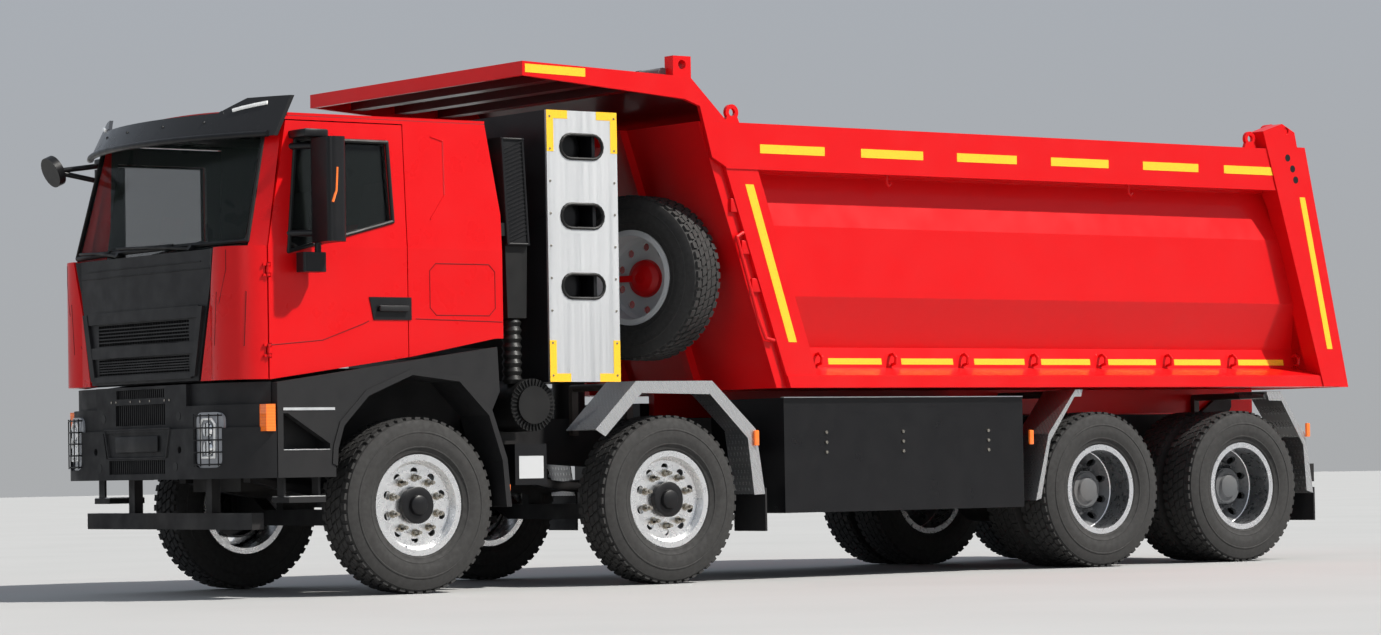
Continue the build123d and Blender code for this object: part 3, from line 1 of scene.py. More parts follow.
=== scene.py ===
import math
import bmesh
import bpy
from mathutils import Matrix, Vector


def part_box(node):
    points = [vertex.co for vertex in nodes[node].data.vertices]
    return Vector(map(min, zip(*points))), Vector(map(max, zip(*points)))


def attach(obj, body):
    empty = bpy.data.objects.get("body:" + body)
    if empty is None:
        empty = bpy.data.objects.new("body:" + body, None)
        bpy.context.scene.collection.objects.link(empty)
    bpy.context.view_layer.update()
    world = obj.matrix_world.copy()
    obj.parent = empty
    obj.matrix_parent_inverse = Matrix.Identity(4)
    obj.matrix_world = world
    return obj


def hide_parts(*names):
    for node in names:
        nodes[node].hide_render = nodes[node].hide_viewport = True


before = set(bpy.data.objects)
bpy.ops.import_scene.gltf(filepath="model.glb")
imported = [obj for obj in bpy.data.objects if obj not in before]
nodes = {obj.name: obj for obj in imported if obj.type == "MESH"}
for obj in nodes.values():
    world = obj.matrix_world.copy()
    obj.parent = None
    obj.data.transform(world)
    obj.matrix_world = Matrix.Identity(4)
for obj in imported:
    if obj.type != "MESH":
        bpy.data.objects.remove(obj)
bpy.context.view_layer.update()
print("frame loaded:", len(nodes), "nodes")

axleFront = -3.380  # y of the first axle, in metres
hubZ = 0.540  # height of the wheels' centres
bothSides = (("left", 1), ("right", -1))


def behind(distance):  # y of a place so far behind the first axle
    return axleFront + distance


# Shader maths: a socket that takes + - * / > < and makes its own nodes
def sign(operation, turned=False):  # the method behind an operator, or behind its reflected form
    def apply(self, other):
        return self.maths(operation, other, self) if turned else self.maths(operation, self, other)

    return apply


class Wire:
    def __init__(self, tree, socket=None):
        self.tree = tree
        self.socket = socket

    def make(self, kind, settings=None, plugs=None, out=0):
        node = self.tree.nodes.new(kind)
        for key, value in (settings or {}).items():
            if key == "stops":
                for spot, (place, colour) in zip(rampStops(node, len(value)), value):
                    spot.position, spot.color = place, colour
            else:
                setattr(node, key, value)
        for key, value in (plugs or {}).items():
            if isinstance(value, Wire):
                self.tree.links.new(value.socket, node.inputs[key])
            else:
                node.inputs[key].default_value = value
        return Wire(self.tree, node.outputs[out])

    def maths(self, operation, *values):
        return self.make("ShaderNodeMath", {"operation": operation}, dict(enumerate(values)))

    __add__ = sign("ADD")
    __radd__ = sign("ADD", True)
    __sub__ = sign("SUBTRACT")
    __rsub__ = sign("SUBTRACT", True)
    __mul__ = sign("MULTIPLY")
    __rmul__ = sign("MULTIPLY", True)
    __truediv__ = sign("DIVIDE")
    __gt__ = sign("GREATER_THAN")
    __lt__ = sign("LESS_THAN")


def rampStops(node, count):
    stops = node.color_ramp.elements
    while len(stops) < count:
        stops.new(0.5)
    return stops


def rgba(colour, share=1.0):  # a colour with its alpha, darker or lighter by a share
    return (*[c * share for c in colour], 1.0)


noiseSpan = (0.3, 0.7)  # where most of a noise texture's values lie
patchSpan = (0.35, 0.7)


class Finish:  # one Principled material and the patterns that feed it
    def __init__(self, name, colour, roughness, metallic=0.0, **extra):
        self.material = bpy.data.materials.new(name)
        self.material.use_nodes = True
        tree = self.material.node_tree
        self.shader = tree.nodes["Principled BSDF"]
        self.start = Wire(tree)
        self.colour = colour
        self.set("Base Color", rgba(colour))
        self.set("Roughness", roughness)
        self.set("Metallic", metallic)
        for key, value in extra.items():
            self.set(key.replace("_", " "), value)
        self.place = self.start.make("ShaderNodeTexCoord", out=3)

    def set(self, name, value):
        if isinstance(value, Wire):
            self.start.tree.links.new(value.socket, self.shader.inputs[name])
        else:
            self.shader.inputs[name].default_value = value

    def axis(self, which):
        return self.start.make("ShaderNodeSeparateXYZ", None, {0: self.place}, "XYZ".index(which))

    def away(self):  # distance from the middle of the truck, to either side
        return self.start.maths("ABSOLUTE", self.axis("X"))

    def waves(self, value):  # up and down between 0 and 0.5
        return self.start.maths("PINGPONG", value, 0.5)

    def noise(self, scale, detail=3.0, stretch=(1, 1, 1)):
        spread = self.start.make("ShaderNodeMapping", None, {"Vector": self.place, "Scale": stretch})
        return self.start.make(
            "ShaderNodeTexNoise", None, {"Vector": spread, "Scale": scale, "Detail": detail})

    def spread(self, value, low, high, toLow=0.0, toHigh=1.0):
        return self.start.make("ShaderNodeMapRange", None, {0: value, 1: low, 2: high, 3: toLow, 4: toHigh})

    def mix(self, factor, a, b):
        return self.start.make("ShaderNodeMix", {"data_type": "RGBA"}, {0: factor, 6: a, 7: b}, 2)

    def bump(self, height, strength, distance):
        self.set("Normal", self.start.make(
            "ShaderNodeBump", None, {"Height": height, "Strength": strength, "Distance": distance}))

    def wander(self, name, scale, low, high, detail=3.0, stretch=(1, 1, 1)):  # feeds noise to a socket
        self.set(name, self.spread(self.noise(scale, detail, stretch), *noiseSpan, low, high))

    def mottled(self, colour, share, scale, detail=3.0):  # a colour with patches of another shade
        return self.mix(self.spread(self.noise(scale, detail), *patchSpan), rgba(colour), rgba(colour, share))


dustSet = {"colour": (0.30, 0.25, 0.21), "scale": 2.3, "detail": 5.0, "span": (0.42, 0.75), "least": 0.1}


def dusted(finish, amount, low=0.2, high=1.6):  # road dust that thins out with height, broken up by noise
    d = dustSet
    patches = finish.spread(finish.noise(d["scale"], d["detail"]), *d["span"])
    depth = finish.spread(finish.axis("Z"), low, high, 1.0, d["least"])
    return finish.mix(patches * depth * amount, rgba(finish.colour), rgba(d["colour"]))


def redPaint(name, colour, roughness, peel, liningAndShadeMask=None, liningAndShadeColour=(0.035, 0.036, 0.038)):
    # the mask function gives 1 where another colour shows instead of the paint: the cab's dark inner lining,
    # and on the canopy's underside a painted shade
    f = Finish(name, colour, roughness, Coat_Weight=0.10, Coat_Roughness=0.06, Specular_IOR_Level=0.25)
    paint = dusted(f, 0.03, low=0.6, high=2.2)
    f.set("Base Color", f.mix(liningAndShadeMask(f), paint, rgba(liningAndShadeColour)) if liningAndShadeMask else paint)
    f.wander("Roughness", 4.0, roughness * 0.85, roughness * 1.2)
    f.bump(f.noise(peel, 2.0), 0.025, 0.002)
    return f.material


def blackPaint(name, colour, roughness, dust):
    f = Finish(name, colour, roughness, Specular_IOR_Level=0.3)
    f.set("Base Color", dusted(f, dust))
    f.wander("Roughness", 6.0, roughness * 0.8, roughness * 1.25)
    f.bump(f.noise(220.0, 2.0), 0.05, 0.001)
    return f.material


def grainedPlastic(name, colour, roughness, grain=420.0):
    f = Finish(name, colour, roughness, Specular_IOR_Level=0.3)
    cells = f.start.make("ShaderNodeTexVoronoi", None, {"Vector": f.place, "Scale": grain})
    f.set("Base Color", dusted(f, 0.02))
    f.wander("Roughness", 9.0, roughness * 0.85, roughness * 1.2)
    f.bump(cells, 0.12, 0.0006)
    return f.material


def brushedAlloy(name, colour, roughness, streak):
    f = Finish(name, colour, roughness, 1.0)
    lines = f.noise(30.0, 3.0, streak)
    f.set("Base Color", f.mottled(colour, 0.93, 1.6, 4.0))
    f.set("Roughness", f.spread(lines, *noiseSpan, roughness * 0.85, roughness * 1.15))
    f.bump(lines, 0.02, 0.0005)
    return f.material


chequerSet = {"lean": 0.6, "bars": (0.10, 0.17), "hollow": 0.62, "arm": (0.045, 0.036, 0.031),
              "armRough": 0.46, "barRough": 0.26}


def chequerPlate(name, colour, pitch, plateX=0.0):
    # crossed raised bars, laid out on the plate's length and width; inside plateX it is a dark steel arm
    c = chequerSet
    f = Finish(name, colour, 0.30, 1.0)
    plate = f.away() > plateX
    along = (f.axis("Y") + f.axis("Z") * c["lean"]) / pitch
    across = f.axis("X") / pitch
    bars = f.spread(f.waves(along + across) * f.waves(along - across), *c["bars"])
    metal = f.mix(bars, rgba(colour, c["hollow"]), rgba(colour))
    f.set("Base Color", f.mix(plate, rgba(c["arm"]), metal))
    f.set("Metallic", plate)
    f.set("Roughness", f.spread(bars * plate, 0.0, 1.0, c["armRough"], c["barRough"]))
    f.bump(bars * plate, 0.55, 0.003)
    return f.material


def tyreRubber(name, colour):
    f = Finish(name, colour, 0.82)
    f.set("Base Color", f.mottled(colour, 1.25, 40.0))
    f.wander("Roughness", 30.0, 0.72, 0.92)
    f.bump(f.noise(160.0), 0.10, 0.0012)
    return f.material


def clearGlass(name, colour, alpha):
    f = Finish(name, colour, 0.03, Alpha=alpha)
    f.set("Roughness", f.spread(f.noise(2.0, 4.0), 0.4, 0.8, 0.02, 0.07))
    f.material.surface_render_method = "BLENDED"
    return f.material


def lampLens(name, colour, glow, ribs=60.0):
    f = Finish(name, colour, 0.12, Coat_Weight=0.6)
    lines = f.waves(f.axis("X") * ribs + f.axis("Y") * ribs)
    f.set("Base Color", f.mix(lines, rgba(colour), rgba(colour, 0.72)))
    f.set("Emission Strength", glow)
    f.set("Emission Color", rgba(colour))
    f.bump(lines, 0.2, 0.002)
    return f.material


unitSet = {"housing": (0.30, 0.31, 0.33), "cornerX": 1.10, "ribs": 55.0, "bright": (0.95, 0.20, 0.02),
           "deep": (0.70, 0.10, 0.01), "glow": (0.95, 0.16, 0.01)}


def lampUnit(name):  # headlamp housing, with orange corner lamps further out
    u = unitSet
    f = Finish(name, u["housing"], 0.10, Coat_Weight=0.8)
    corner = f.away() > u["cornerX"]
    orange = f.mix(f.waves(f.axis("Z") * u["ribs"]), rgba(u["bright"]), rgba(u["deep"]))
    f.set("Base Color", f.mix(corner, rgba(f.colour), orange))
    f.set("Emission Color", f.mix(corner, rgba((0, 0, 0)), rgba(u["glow"])))
    f.set("Emission Strength", 0.12)
    return f.material


def wheelRim(name, axle, inner, face, colour, dark):
    # bright metal, with painted shade inside: a dark colour nearer the axle line than inner and not as far
    # out as face, in place of the shadow in the rim's recess
    f = Finish(name, colour, 0.30, 1.0)
    squares = [f.start.maths("POWER", f.axis(a) - b, 2.0) for a, b in (("Y", behind(axle)), ("Z", hubZ))]
    radius = f.start.maths("SQRT", squares[0] + squares[1])
    shaded = (radius < inner) * (f.away() < face)
    f.set("Base Color", f.mix(shaded, rgba(colour), f.mottled(dark, 1.4, 5.0)))
    f.set("Metallic", 1.0 - shaded)
    f.wander("Roughness", 30.0, 0.24, 0.34)
    return f.material


def reflectiveTape(name, colour, cellScale=160.0):
    f = Finish(name, colour, 0.35, Coat_Weight=0.4)
    cells = f.start.make(
        "ShaderNodeTexVoronoi", {"feature": "DISTANCE_TO_EDGE"}, {"Vector": f.place, "Scale": cellScale})
    edge = f.spread(cells, 0.02, 0.09)
    f.set("Base Color", f.mix(edge, rgba(colour, 0.72), rgba(colour)))
    f.bump(edge, 0.1, 0.0005)
    return f.material


def polishedRod(name, colour):
    f = Finish(name, colour, 0.12, 1.0)
    f.wander("Roughness", 40.0, 0.08, 0.2, stretch=(1, 1, 0.05))
    return f.material


def wovenCloth(name, colour, threads):
    f = Finish(name, colour, 0.9)
    f.set("Base Color", f.mottled(colour, 0.7, 5.0))
    f.bump(f.waves(f.axis("X") * threads) * f.waves(f.axis("Z") * threads), 0.3, 0.001)
    return f.material


# bounds of the cab's inner lining; the canopy's keys bound the painted shade under the canopy
liningAndShadeSet = {"side": 1.118, "lean": 0.056, "waist": 2.105, "front": -0.87, "rear": 0.585, "roof": 2.893,
             "canopyTop": 3.272, "canopyTip": 0.775, "canopySlope": 0.0321, "canopyHalf": 1.200}


def sideLining(f):  # the inner faces of the doors and the cab's side walls
    g = liningAndShadeSet
    lean = f.start.maths("MAXIMUM", f.axis("Z") - g["waist"], 0.0) * g["lean"]
    inside = f.away() + lean < g["side"]
    return inside * (f.axis("Y") > behind(g["front"])) * (f.axis("Y") < behind(g["rear"]))


def roofLining(f):
    return f.axis("Z") < liningAndShadeSet["roof"]


def canopyShade(f):  # painted shade: the canopy's underside, below its sloping skin, is given a dark red in place of its shadow
    g = liningAndShadeSet
    tip = behind(g["canopyTip"])
    under = f.axis("Z") < g["canopyTop"] - (f.axis("Y") - tip) * g["canopySlope"]
    return under * (f.axis("Y") > tip) * (f.away() < g["canopyHalf"])


cabColour = (0.62, 0.002, 0.004)
bedColour = (0.64, 0.002, 0.004)
# the dark inside is painted shade in the rims' recess; the rear rims' face is so far out that their whole
# middle gets it
frontDish = (0.262, 1.083, (0.86, 0.86, 0.86), (0.006, 0.006, 0.007))  # inner, face, metal and dark inside
rearDish = (0.268, 9.0, (0.80, 0.80, 0.81), (0.075, 0.078, 0.082))
axlePlaces = {1: 0.0, 2: 1.910, 3: 5.605, 4: 6.980}  # distance behind the first axle

finishSet = {
    "cabRed": (redPaint, cabColour, 0.30, 130.0),
    "cabSideRed": (redPaint, cabColour, 0.30, 130.0, sideLining),
    "roofRed": (redPaint, cabColour, 0.30, 130.0, roofLining),
    "bedRed": (redPaint, bedColour, 0.36, 90.0),
    # canopy red with painted shade: a dark red on its underside in place of its shadow
    "canopyRed": (redPaint, bedColour, 0.36, 90.0, canopyShade, (0.085, 0.002, 0.003)),
    # dark red: joints along the shut lines and hatch outline, and painted shade along the crease and belt
    # line
    "seamRed": (redPaint, (0.12, 0.002, 0.003), 0.5, 130.0),
    "chassisBlack": (blackPaint, (0.008, 0.008, 0.009), 0.55, 0.08),
    "boxBlack": (blackPaint, (0.005, 0.005, 0.006), 0.34, 0.004),
    "hubBlack": (blackPaint, (0.006, 0.006, 0.007), 0.42, 0.0),
    "rimPaint": (blackPaint, (0.52, 0.53, 0.54), 0.4, 0.05),
    "rimGrey": (blackPaint, (0.10, 0.105, 0.11), 0.5, 0.2),
    "visorGloss": (grainedPlastic, (0.016, 0.016, 0.017), 0.24),
    "grillePlastic": (grainedPlastic, (0.013, 0.013, 0.014), 0.50),
    "bumperPlastic": (grainedPlastic, (0.011, 0.011, 0.012), 0.58),
    "mirrorPlastic": (grainedPlastic, (0.007, 0.007, 0.008), 0.36),
    "innerTrim": (grainedPlastic, (0.028, 0.028, 0.030), 0.7),
    "hoseRubber": (grainedPlastic, (0.006, 0.006, 0.006), 0.5, 200.0),
    "plateAlloy": (brushedAlloy, (0.62, 0.63, 0.64), 0.55, (1, 1, 0.02)),
    "chequerAlloy": (chequerPlate, (0.78, 0.78, 0.78), 0.030),
    "fenderPlate": (chequerPlate, (0.80, 0.80, 0.80), 0.034, 0.897),
    "frontRim1": (wheelRim, axlePlaces[1], *frontDish),
    "frontRim2": (wheelRim, axlePlaces[2], *frontDish),
    "rearRim3": (wheelRim, axlePlaces[3], *rearDish),
    "rearRim4": (wheelRim, axlePlaces[4], *rearDish),
    "tyre": (tyreRubber, (0.022, 0.0212, 0.0205)),
    "glazing": (clearGlass, (0.05, 0.065, 0.058), 0.12),
    "doorGlass": (clearGlass, (0.012, 0.015, 0.014), 0.45),
    "lampUnit": (lampUnit,),
    "orangeLens": (lampLens, (0.95, 0.18, 0.02), 0.15),
    "whiteLens": (lampLens, (0.92, 0.92, 0.90), 0.1),
    "redLens": (lampLens, (0.70, 0.01, 0.01), 0.05),
    "yellowTape": (reflectiveTape, (0.98, 0.56, 0.02)),
    "tarpGrey": (wovenCloth, (0.16, 0.165, 0.17), 200.0),
    "hoistSteel": (polishedRod, (0.85, 0.85, 0.87)),
    "nutSteel": (polishedRod, (0.40, 0.37, 0.32)),
    "mirrorChrome": (polishedRod, (0.90, 0.91, 0.92)),
}
finishes = {name: make(name, *values) for name, (make, *values) in finishSet.items()}

nodeFinish = {  # by the start of a node's name
    "tyre": "tyre", "spare_tyre": "tyre", "rim_1": "frontRim1", "rim_2": "frontRim2", "rims_3": "rearRim3",
    "rims_4": "rearRim4", "spare_rim": "rimPaint", "knuckle": "chassisBlack", "frame": "chassisBlack",
    "axles": "chassisBlack", "springs": "chassisBlack", "driveline": "chassisBlack",
    "underrun_bars": "chassisBlack", "bumper": "bumperPlastic", "lamps": "lampUnit",
    "cab_floor": "innerTrim", "cab_interior": "innerTrim",
    "cab_walls": "cabSideRed", "cab_roof": "roofRed", "door_": "cabSideRed", "corner_panels": "cabRed",
    "front_panel": "grillePlastic", "windscreen": "glazing", "window_": "doorGlass",
    "sun_visor": "visorGloss", "mirror_": "mirrorPlastic", "front_mirror": "mirrorPlastic",
    "fenders_and_flaps": "bumperPlastic", "plate_fenders": "fenderPlate", "gas_rack": "boxBlack",
    "rack_plates": "plateAlloy", "air_intake": "hoseRubber", "side_boxes": "boxBlack", "bed_": "bedRed",
    "headboard": "bedRed", "canopy": "canopyRed", "tailgate": "bedRed", "hoist_barrel": "chassisBlack",
    "hoist_stage": "hoistSteel",
}


def dressNodes():
    for name, obj in nodes.items():
        start = max((k for k in nodeFinish if name.startswith(k)), key=len)
        obj.data.materials.clear()
        obj.data.materials.append(finishes[nodeFinish[start]])


dressNodes()
print("finishes:", len(finishes))


# Mesh helpers: a bag of closed shapes that ends as one piece at the origin
planes = {  # where an outline's two values and its thickness go
    "YZ": lambda a, b, t: (t, a, b),
    "XZ": lambda a, b, t: (a, t, b),
    "XY": lambda a, b, t: (a, b, t),
}


def spot(x, back, z):  # a point by its side, its distance behind the first axle and its height
    return (x, behind(back), z)


def sideSpan(side, low, high):
    return sorted((side * low, side * high))


def even(low, high, steps):  # evenly spread values with both ends
    return [low + (high - low) * k / steps for k in range(steps + 1)]


def stepped(start, steps):  # points given by their steps from a start
    return [(start[0] + a, start[1] + b) for a, b in steps]


class Shape:
    def __init__(self):
        self.mesh = bmesh.new()

    def block(self, low, high, bevel=0.0):
        low, high = Vector(low), Vector(high)
        size = high - low
        made = bmesh.ops.create_cube(self.mesh, size=1.0)
        verts = made["verts"]
        for v in verts:
            v.co = Vector(v.co[i] * size[i] for i in range(3))
        if bevel:
            edges = list({e for v in verts for e in v.link_edges})
            out = bmesh.ops.bevel(
                self.mesh, geom=edges, offset=bevel, segments=2, affect="EDGES", profile=0.5)
            verts = out["verts"]
        centre = (low + high) / 2
        for v in set(verts):
            v.co = v.co + centre
        return self

    def sideBlock(self, side, xs, backs, zs, bevel=0.0):  # a block by its spans, on one side
        low, high = zip(sideSpan(side, *xs), backs, zs)
        return self.block(spot(*low), spot(*high), bevel)

    def rod(self, start, end, radius, sides=12, endRadius=None):
        start, end = Vector(start), Vector(end)
        line = end - start
        place = Matrix.Translation((start + end) / 2) @ line.to_track_quat("Z", "Y").to_matrix().to_4x4()
        bmesh.ops.create_cone(
            self.mesh, cap_ends=True, segments=sides, radius1=radius,
            radius2=radius if endRadius is None else endRadius, depth=line.length, matrix=place)
        return self

    def bent(self, points, radius, sides=8):  # round bar through points, with ball corners
        for a, b in zip(points, points[1:]):
            self.rod(a, b, radius, sides)
        for p in points[1:-1]:
            place = Matrix.Translation(Vector(p))
            bmesh.ops.create_uvsphere(self.mesh, u_segments=sides, v_segments=6, radius=radius, matrix=place)
        return self

    def prism(self, outline, low, high, plane="YZ"):  # closed outline in a plane, thick along the third axis
        rings = [[self.mesh.verts.new(planes[plane](a, b, t)) for a, b in outline] for t in (low, high)]
        n = len(outline)
        for i in range(n):
            self.mesh.faces.new((rings[0][i], rings[0][(i + 1) % n], rings[1][(i + 1) % n], rings[1][i]))
        self.mesh.faces.new(rings[0])
        self.mesh.faces.new(rings[1])
        return self

    def turned(self, profile, centre, sides=48):  # (x, radius) profile, closed, turned about X
        rings = []
        for k in range(sides):
            a = 2 * math.pi * k / sides
            cos, sin = math.cos(a), math.sin(a)
            points = [(centre[0] + x, centre[1] + r * cos, centre[2] + r * sin) for x, r in profile]
            rings.append([self.mesh.verts.new(p) for p in points])
        n = len(profile)
        for k in range(sides):
            one, two = rings[k], rings[(k + 1) % sides]
            for i in range(n):
                self.mesh.faces.new((one[i], one[(i + 1) % n], two[(i + 1) % n], two[i]))
        return self

    def data(self, name, material, smooth=None):
        bmesh.ops.remove_doubles(self.mesh, verts=self.mesh.verts, dist=1e-6)
        bmesh.ops.recalc_face_normals(self.mesh, faces=self.mesh.faces)
        mesh = bpy.data.meshes.new(name)
        self.mesh.to_mesh(mesh)
        self.mesh.free()
        mesh.materials.append(finishes[material])
        if smooth:
            mesh.shade_smooth()
            mesh.set_sharp_from_angle(angle=math.radians(smooth))
        return mesh

    def piece(self, name, material, body="chassis", slot="black_plastic", smooth=35):
        return ridden(name, self.data(name, material, smooth), body, slot)


def ridden(name, mesh, body, slot, hides=()):
    obj = bpy.data.objects.new(name, mesh)
    bpy.context.scene.collection.objects.link(obj)
    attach(obj, body)
    if hides:
        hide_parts(*hides)
    return obj


# Geometry Nodes: a ring round X and a straight row, both of one shape
class Tree:
    def __init__(self, name, *extra):  # extra: more inputs beside the part, its count and its material
        self.tree = bpy.data.node_groups.new(name, "GeometryNodeTree")
        face = self.tree.interface
        face.new_socket("Geometry", in_out="INPUT", socket_type="NodeSocketGeometry")
        self.keys = {}
        for label, kind in (("Part", "Object"), ("Count", "Int"), ("Material", "Material"), *extra):
            socket = face.new_socket(label, in_out="INPUT", socket_type="NodeSocket" + kind)
            self.keys[label] = socket.identifier
        face.new_socket("Geometry", in_out="OUTPUT", socket_type="NodeSocketGeometry")
        self.inputs = self.node("NodeGroupInput")
        self.outputs = self.node("NodeGroupOutput")

    def node(self, kind, settings=None, plugs=None):
        made = self.tree.nodes.new(kind)
        for key, value in (settings or {}).items():
            setattr(made, key, value)
        for key, value in (plugs or {}).items():
            if hasattr(value, "is_output"):
                self.tree.links.new(value, made.inputs[key])
            else:
                made.inputs[key].default_value = value
        return made

    def given(self, label):
        return self.inputs.outputs[label]

    def copies(self, points):  # the given part on every point
        part = self.node("GeometryNodeObjectInfo", None, {0: self.given("Part")})
        return self.node("GeometryNodeInstanceOnPoints", None, {
            "Points": points.outputs[0], "Instance": part.outputs["Geometry"]})

    def end(self, made):  # joins the copies to what came in, makes them real and paints them
        joined = self.node("GeometryNodeJoinGeometry")
        for part in (made.outputs[0], self.given("Geometry")):
            self.tree.links.new(part, joined.inputs[0])
        solid = self.node("GeometryNodeRealizeInstances", None, {0: joined.outputs[0]})
        painted = self.node("GeometryNodeSetMaterial", None, {
            "Geometry": solid.outputs[0], "Material": self.given("Material")})
        self.tree.links.new(painted.outputs[0], self.outputs.inputs[0])
        return self

    def mesh(self, name, base, values, smooth=None):
        holder = bpy.data.objects.new(name + "Holder", base)
        bpy.context.scene.collection.objects.link(holder)
        modifier = holder.modifiers.new("pattern", "NODES")
        modifier.node_group = self.tree
        for label, value in values.items():
            modifier[self.keys[label]] = value
        bpy.context.view_layer.update()
        shown = holder.evaluated_get(bpy.context.evaluated_depsgraph_get())
        made = bpy.data.meshes.new_from_object(shown)
        made.name = name
        holder.modifiers.remove(modifier)
        bpy.data.objects.remove(holder)
        if smooth:
            made.shade_smooth()
            made.set_sharp_from_angle(angle=math.radians(smooth))
        return made


def ringTree():
    t = Tree("ringOfParts")
    copies = t.copies(t.node("GeometryNodePoints", None, {"Count": t.given("Count")}))
    step = t.node("ShaderNodeMath", {"operation": "DIVIDE"}, {0: 2 * math.pi, 1: t.given("Count")})
    turn = t.node("ShaderNodeMath", {"operation": "MULTIPLY"}, {
        0: t.node("GeometryNodeInputIndex").outputs[0], 1: step.outputs[0]})
    euler = t.node("ShaderNodeCombineXYZ", None, {0: turn.outputs[0]})
    spin = t.node("FunctionNodeEulerToRotation", None, {0: euler.outputs[0]})
    return t.end(t.node("GeometryNodeRotateInstances", None, {
        "Instances": copies.outputs[0], "Rotation": spin.outputs[0], "Local Space": False}))


def rowTree():
    t = Tree("rowOfParts", ("Start", "Vector"), ("Step", "Vector"))
    return t.end(t.copies(t.node("GeometryNodeMeshLine", {"mode": "OFFSET"}, {
        "Count": t.given("Count"), "Start Location": t.given("Start"), "Offset": t.given("Step")})))


ring = ringTree()
row = rowTree()


def seed(mesh):  # a hidden carrier for a shape that a tree repeats
    return bpy.data.objects.new(mesh.name, mesh)


def rows(name, part, lines, material, body="chassis", slot="black_plastic", smooth=35):
    # several straight rows of one shape as one piece; a line is count, start, step
    base = bpy.data.meshes.new(name)
    source = seed(part)
    for count, start, step in lines:
        values = {"Part": source, "Count": count, "Material": finishes[material]}
        base = row.mesh(name, base, {**values, "Start": start, "Step": step}, smooth)
    bpy.data.objects.remove(source)
    return ridden(name, base, body, slot)


def ringMesh(name, part, count, material, base=None, smooth=35):
    source = seed(part)
    values = {"Part": source, "Count": count, "Material": finishes[material]}
    made = ring.mesh(name, base or bpy.data.meshes.new(name), values, smooth)
    bpy.data.objects.remove(source)
    return made


# Tyres: a turned carcass with tread lugs round it
tyreSet = {
    "radius": 0.540, "treadHalf": 0.128, "half": 0.1575, "bulge": 0.405, "bead": 0.2855, "beadHalf": 0.1145,
    "flange": 0.3105, "groove": 0.016, "pitches": 52, "sides": 96,
    "rimRib": ((0.001, 0.0), (0.012, 0.004), (0.018, 0.012), (0.018, 0.018)),  # from the bead, at the flange
    "wall": (  # from the widest place, with two raised rings
        (-0.014, -0.056), (-0.010, -0.054), (-0.009, -0.048), (-0.010, -0.046), (-0.003, -0.020), (0.0, 0.0),
        (-0.004, 0.034), (-0.001, 0.037), (-0.002, 0.044), (-0.006, 0.047)),
    "shoulder": (-0.010, -0.038), "crown": ((0.008, -0.008), (-0.012, 0.0)),  # from the grooves' floor
    "lugSink": 0.004, "wear": 0.004, "lean": 0.010,
    "blocks": (  # centre, half width, share of the pitch, shift along the pitch
        (0.000, 0.021, 0.80, 0.00), (0.052, 0.023, 0.74, 0.35), (-0.052, 0.023, 0.74, 0.35)),
    "lugInner": 0.086, "lugShare": 0.33, "lugTaper": 0.9, "wallLugShare": 0.88,
    "wallLugFoot": ((-0.004, 0.0), (0.013, -0.020), (0.008, -0.034), (-0.010, -0.020)),
    "wallLugTop": ((-0.010, -0.001), (0.0, 0.0)),
}


def carcassProfile():
    t = tyreSet
    floor = t["radius"] - t["groove"]
    side = [(t["beadHalf"], t["bead"])] + stepped((t["beadHalf"], t["flange"]), t["rimRib"])
    side += stepped((t["half"], t["bulge"]), t["wall"]) + stepped((t["half"], floor), [t["shoulder"]])
    side += stepped((t["treadHalf"], floor), t["crown"])
    return side + [(-x, r) for x, r in reversed(side)]


def treadPitch():
    # one pitch: three slanted blocks in the middle, and on each shoulder a lug that runs down the wall
    t = tyreSet
    s = Shape()
    long = 2 * math.pi * t["radius"] / t["pitches"]
    low, top = t["radius"] - t["groove"] - t["lugSink"], t["radius"] - t["wear"]
    lean = t["lean"]
    for x, half, share, shift in t["blocks"]:
        y0, y1 = long * (shift - share / 2), long * (shift + share / 2)
        corners = [(x - half, y0 - lean), (x + half, y0 + lean), (x + half, y1 + lean), (x - half, y1 - lean)]
        s.prism(corners, low, top, "XY")
    inner, outer = t["lugInner"], t["treadHalf"]
    y = long * t["lugShare"]
    end, wallEnd = y * t["lugTaper"], y * t["wallLugShare"]
    wall = stepped((outer, low), t["wallLugFoot"]) + stepped((outer, top), t["wallLugTop"])
    for side in (1, -1):
        lug = [(side * inner, -y), (side * outer, -end), (side * outer, end), (side * inner, y)]
        s.prism(lug, low, top, "XY")
        s.prism([(side * x, z) for x, z in wall], -wallEnd, wallEnd, "XZ")
    return s.data("treadPitch", "tyre")


def tyreMesh():
    t = tyreSet
    base = Shape().turned(carcassProfile(), (0, 0, 0), t["sides"]).data("carcass", "tyre", 40)
    return ringMesh("tyreMade", treadPitch(), t["pitches"], "tyre", base, 30)


def placed(mesh, name, *spots, turn=0.0):  # copies of a mesh turned about Z, moved to spots and joined
    bag = bmesh.new()
    for spot in spots:
        copy = mesh.copy()
        copy.transform(Matrix.Translation(Vector(spot)) @ Matrix.Rotation(math.radians(turn), 4, "Z"))
        bag.from_mesh(copy)
        bpy.data.meshes.remove(copy)
    out = bpy.data.meshes.new(name)
    bag.to_mesh(out)
    bag.free()
    for m in mesh.materials:
        out.materials.append(m)
    return out


wheelSet = {"frontX": 1.025, "outerX": 1.085, "twin": 0.350, "steered": (1, 2), "spareTurn": 109.0}


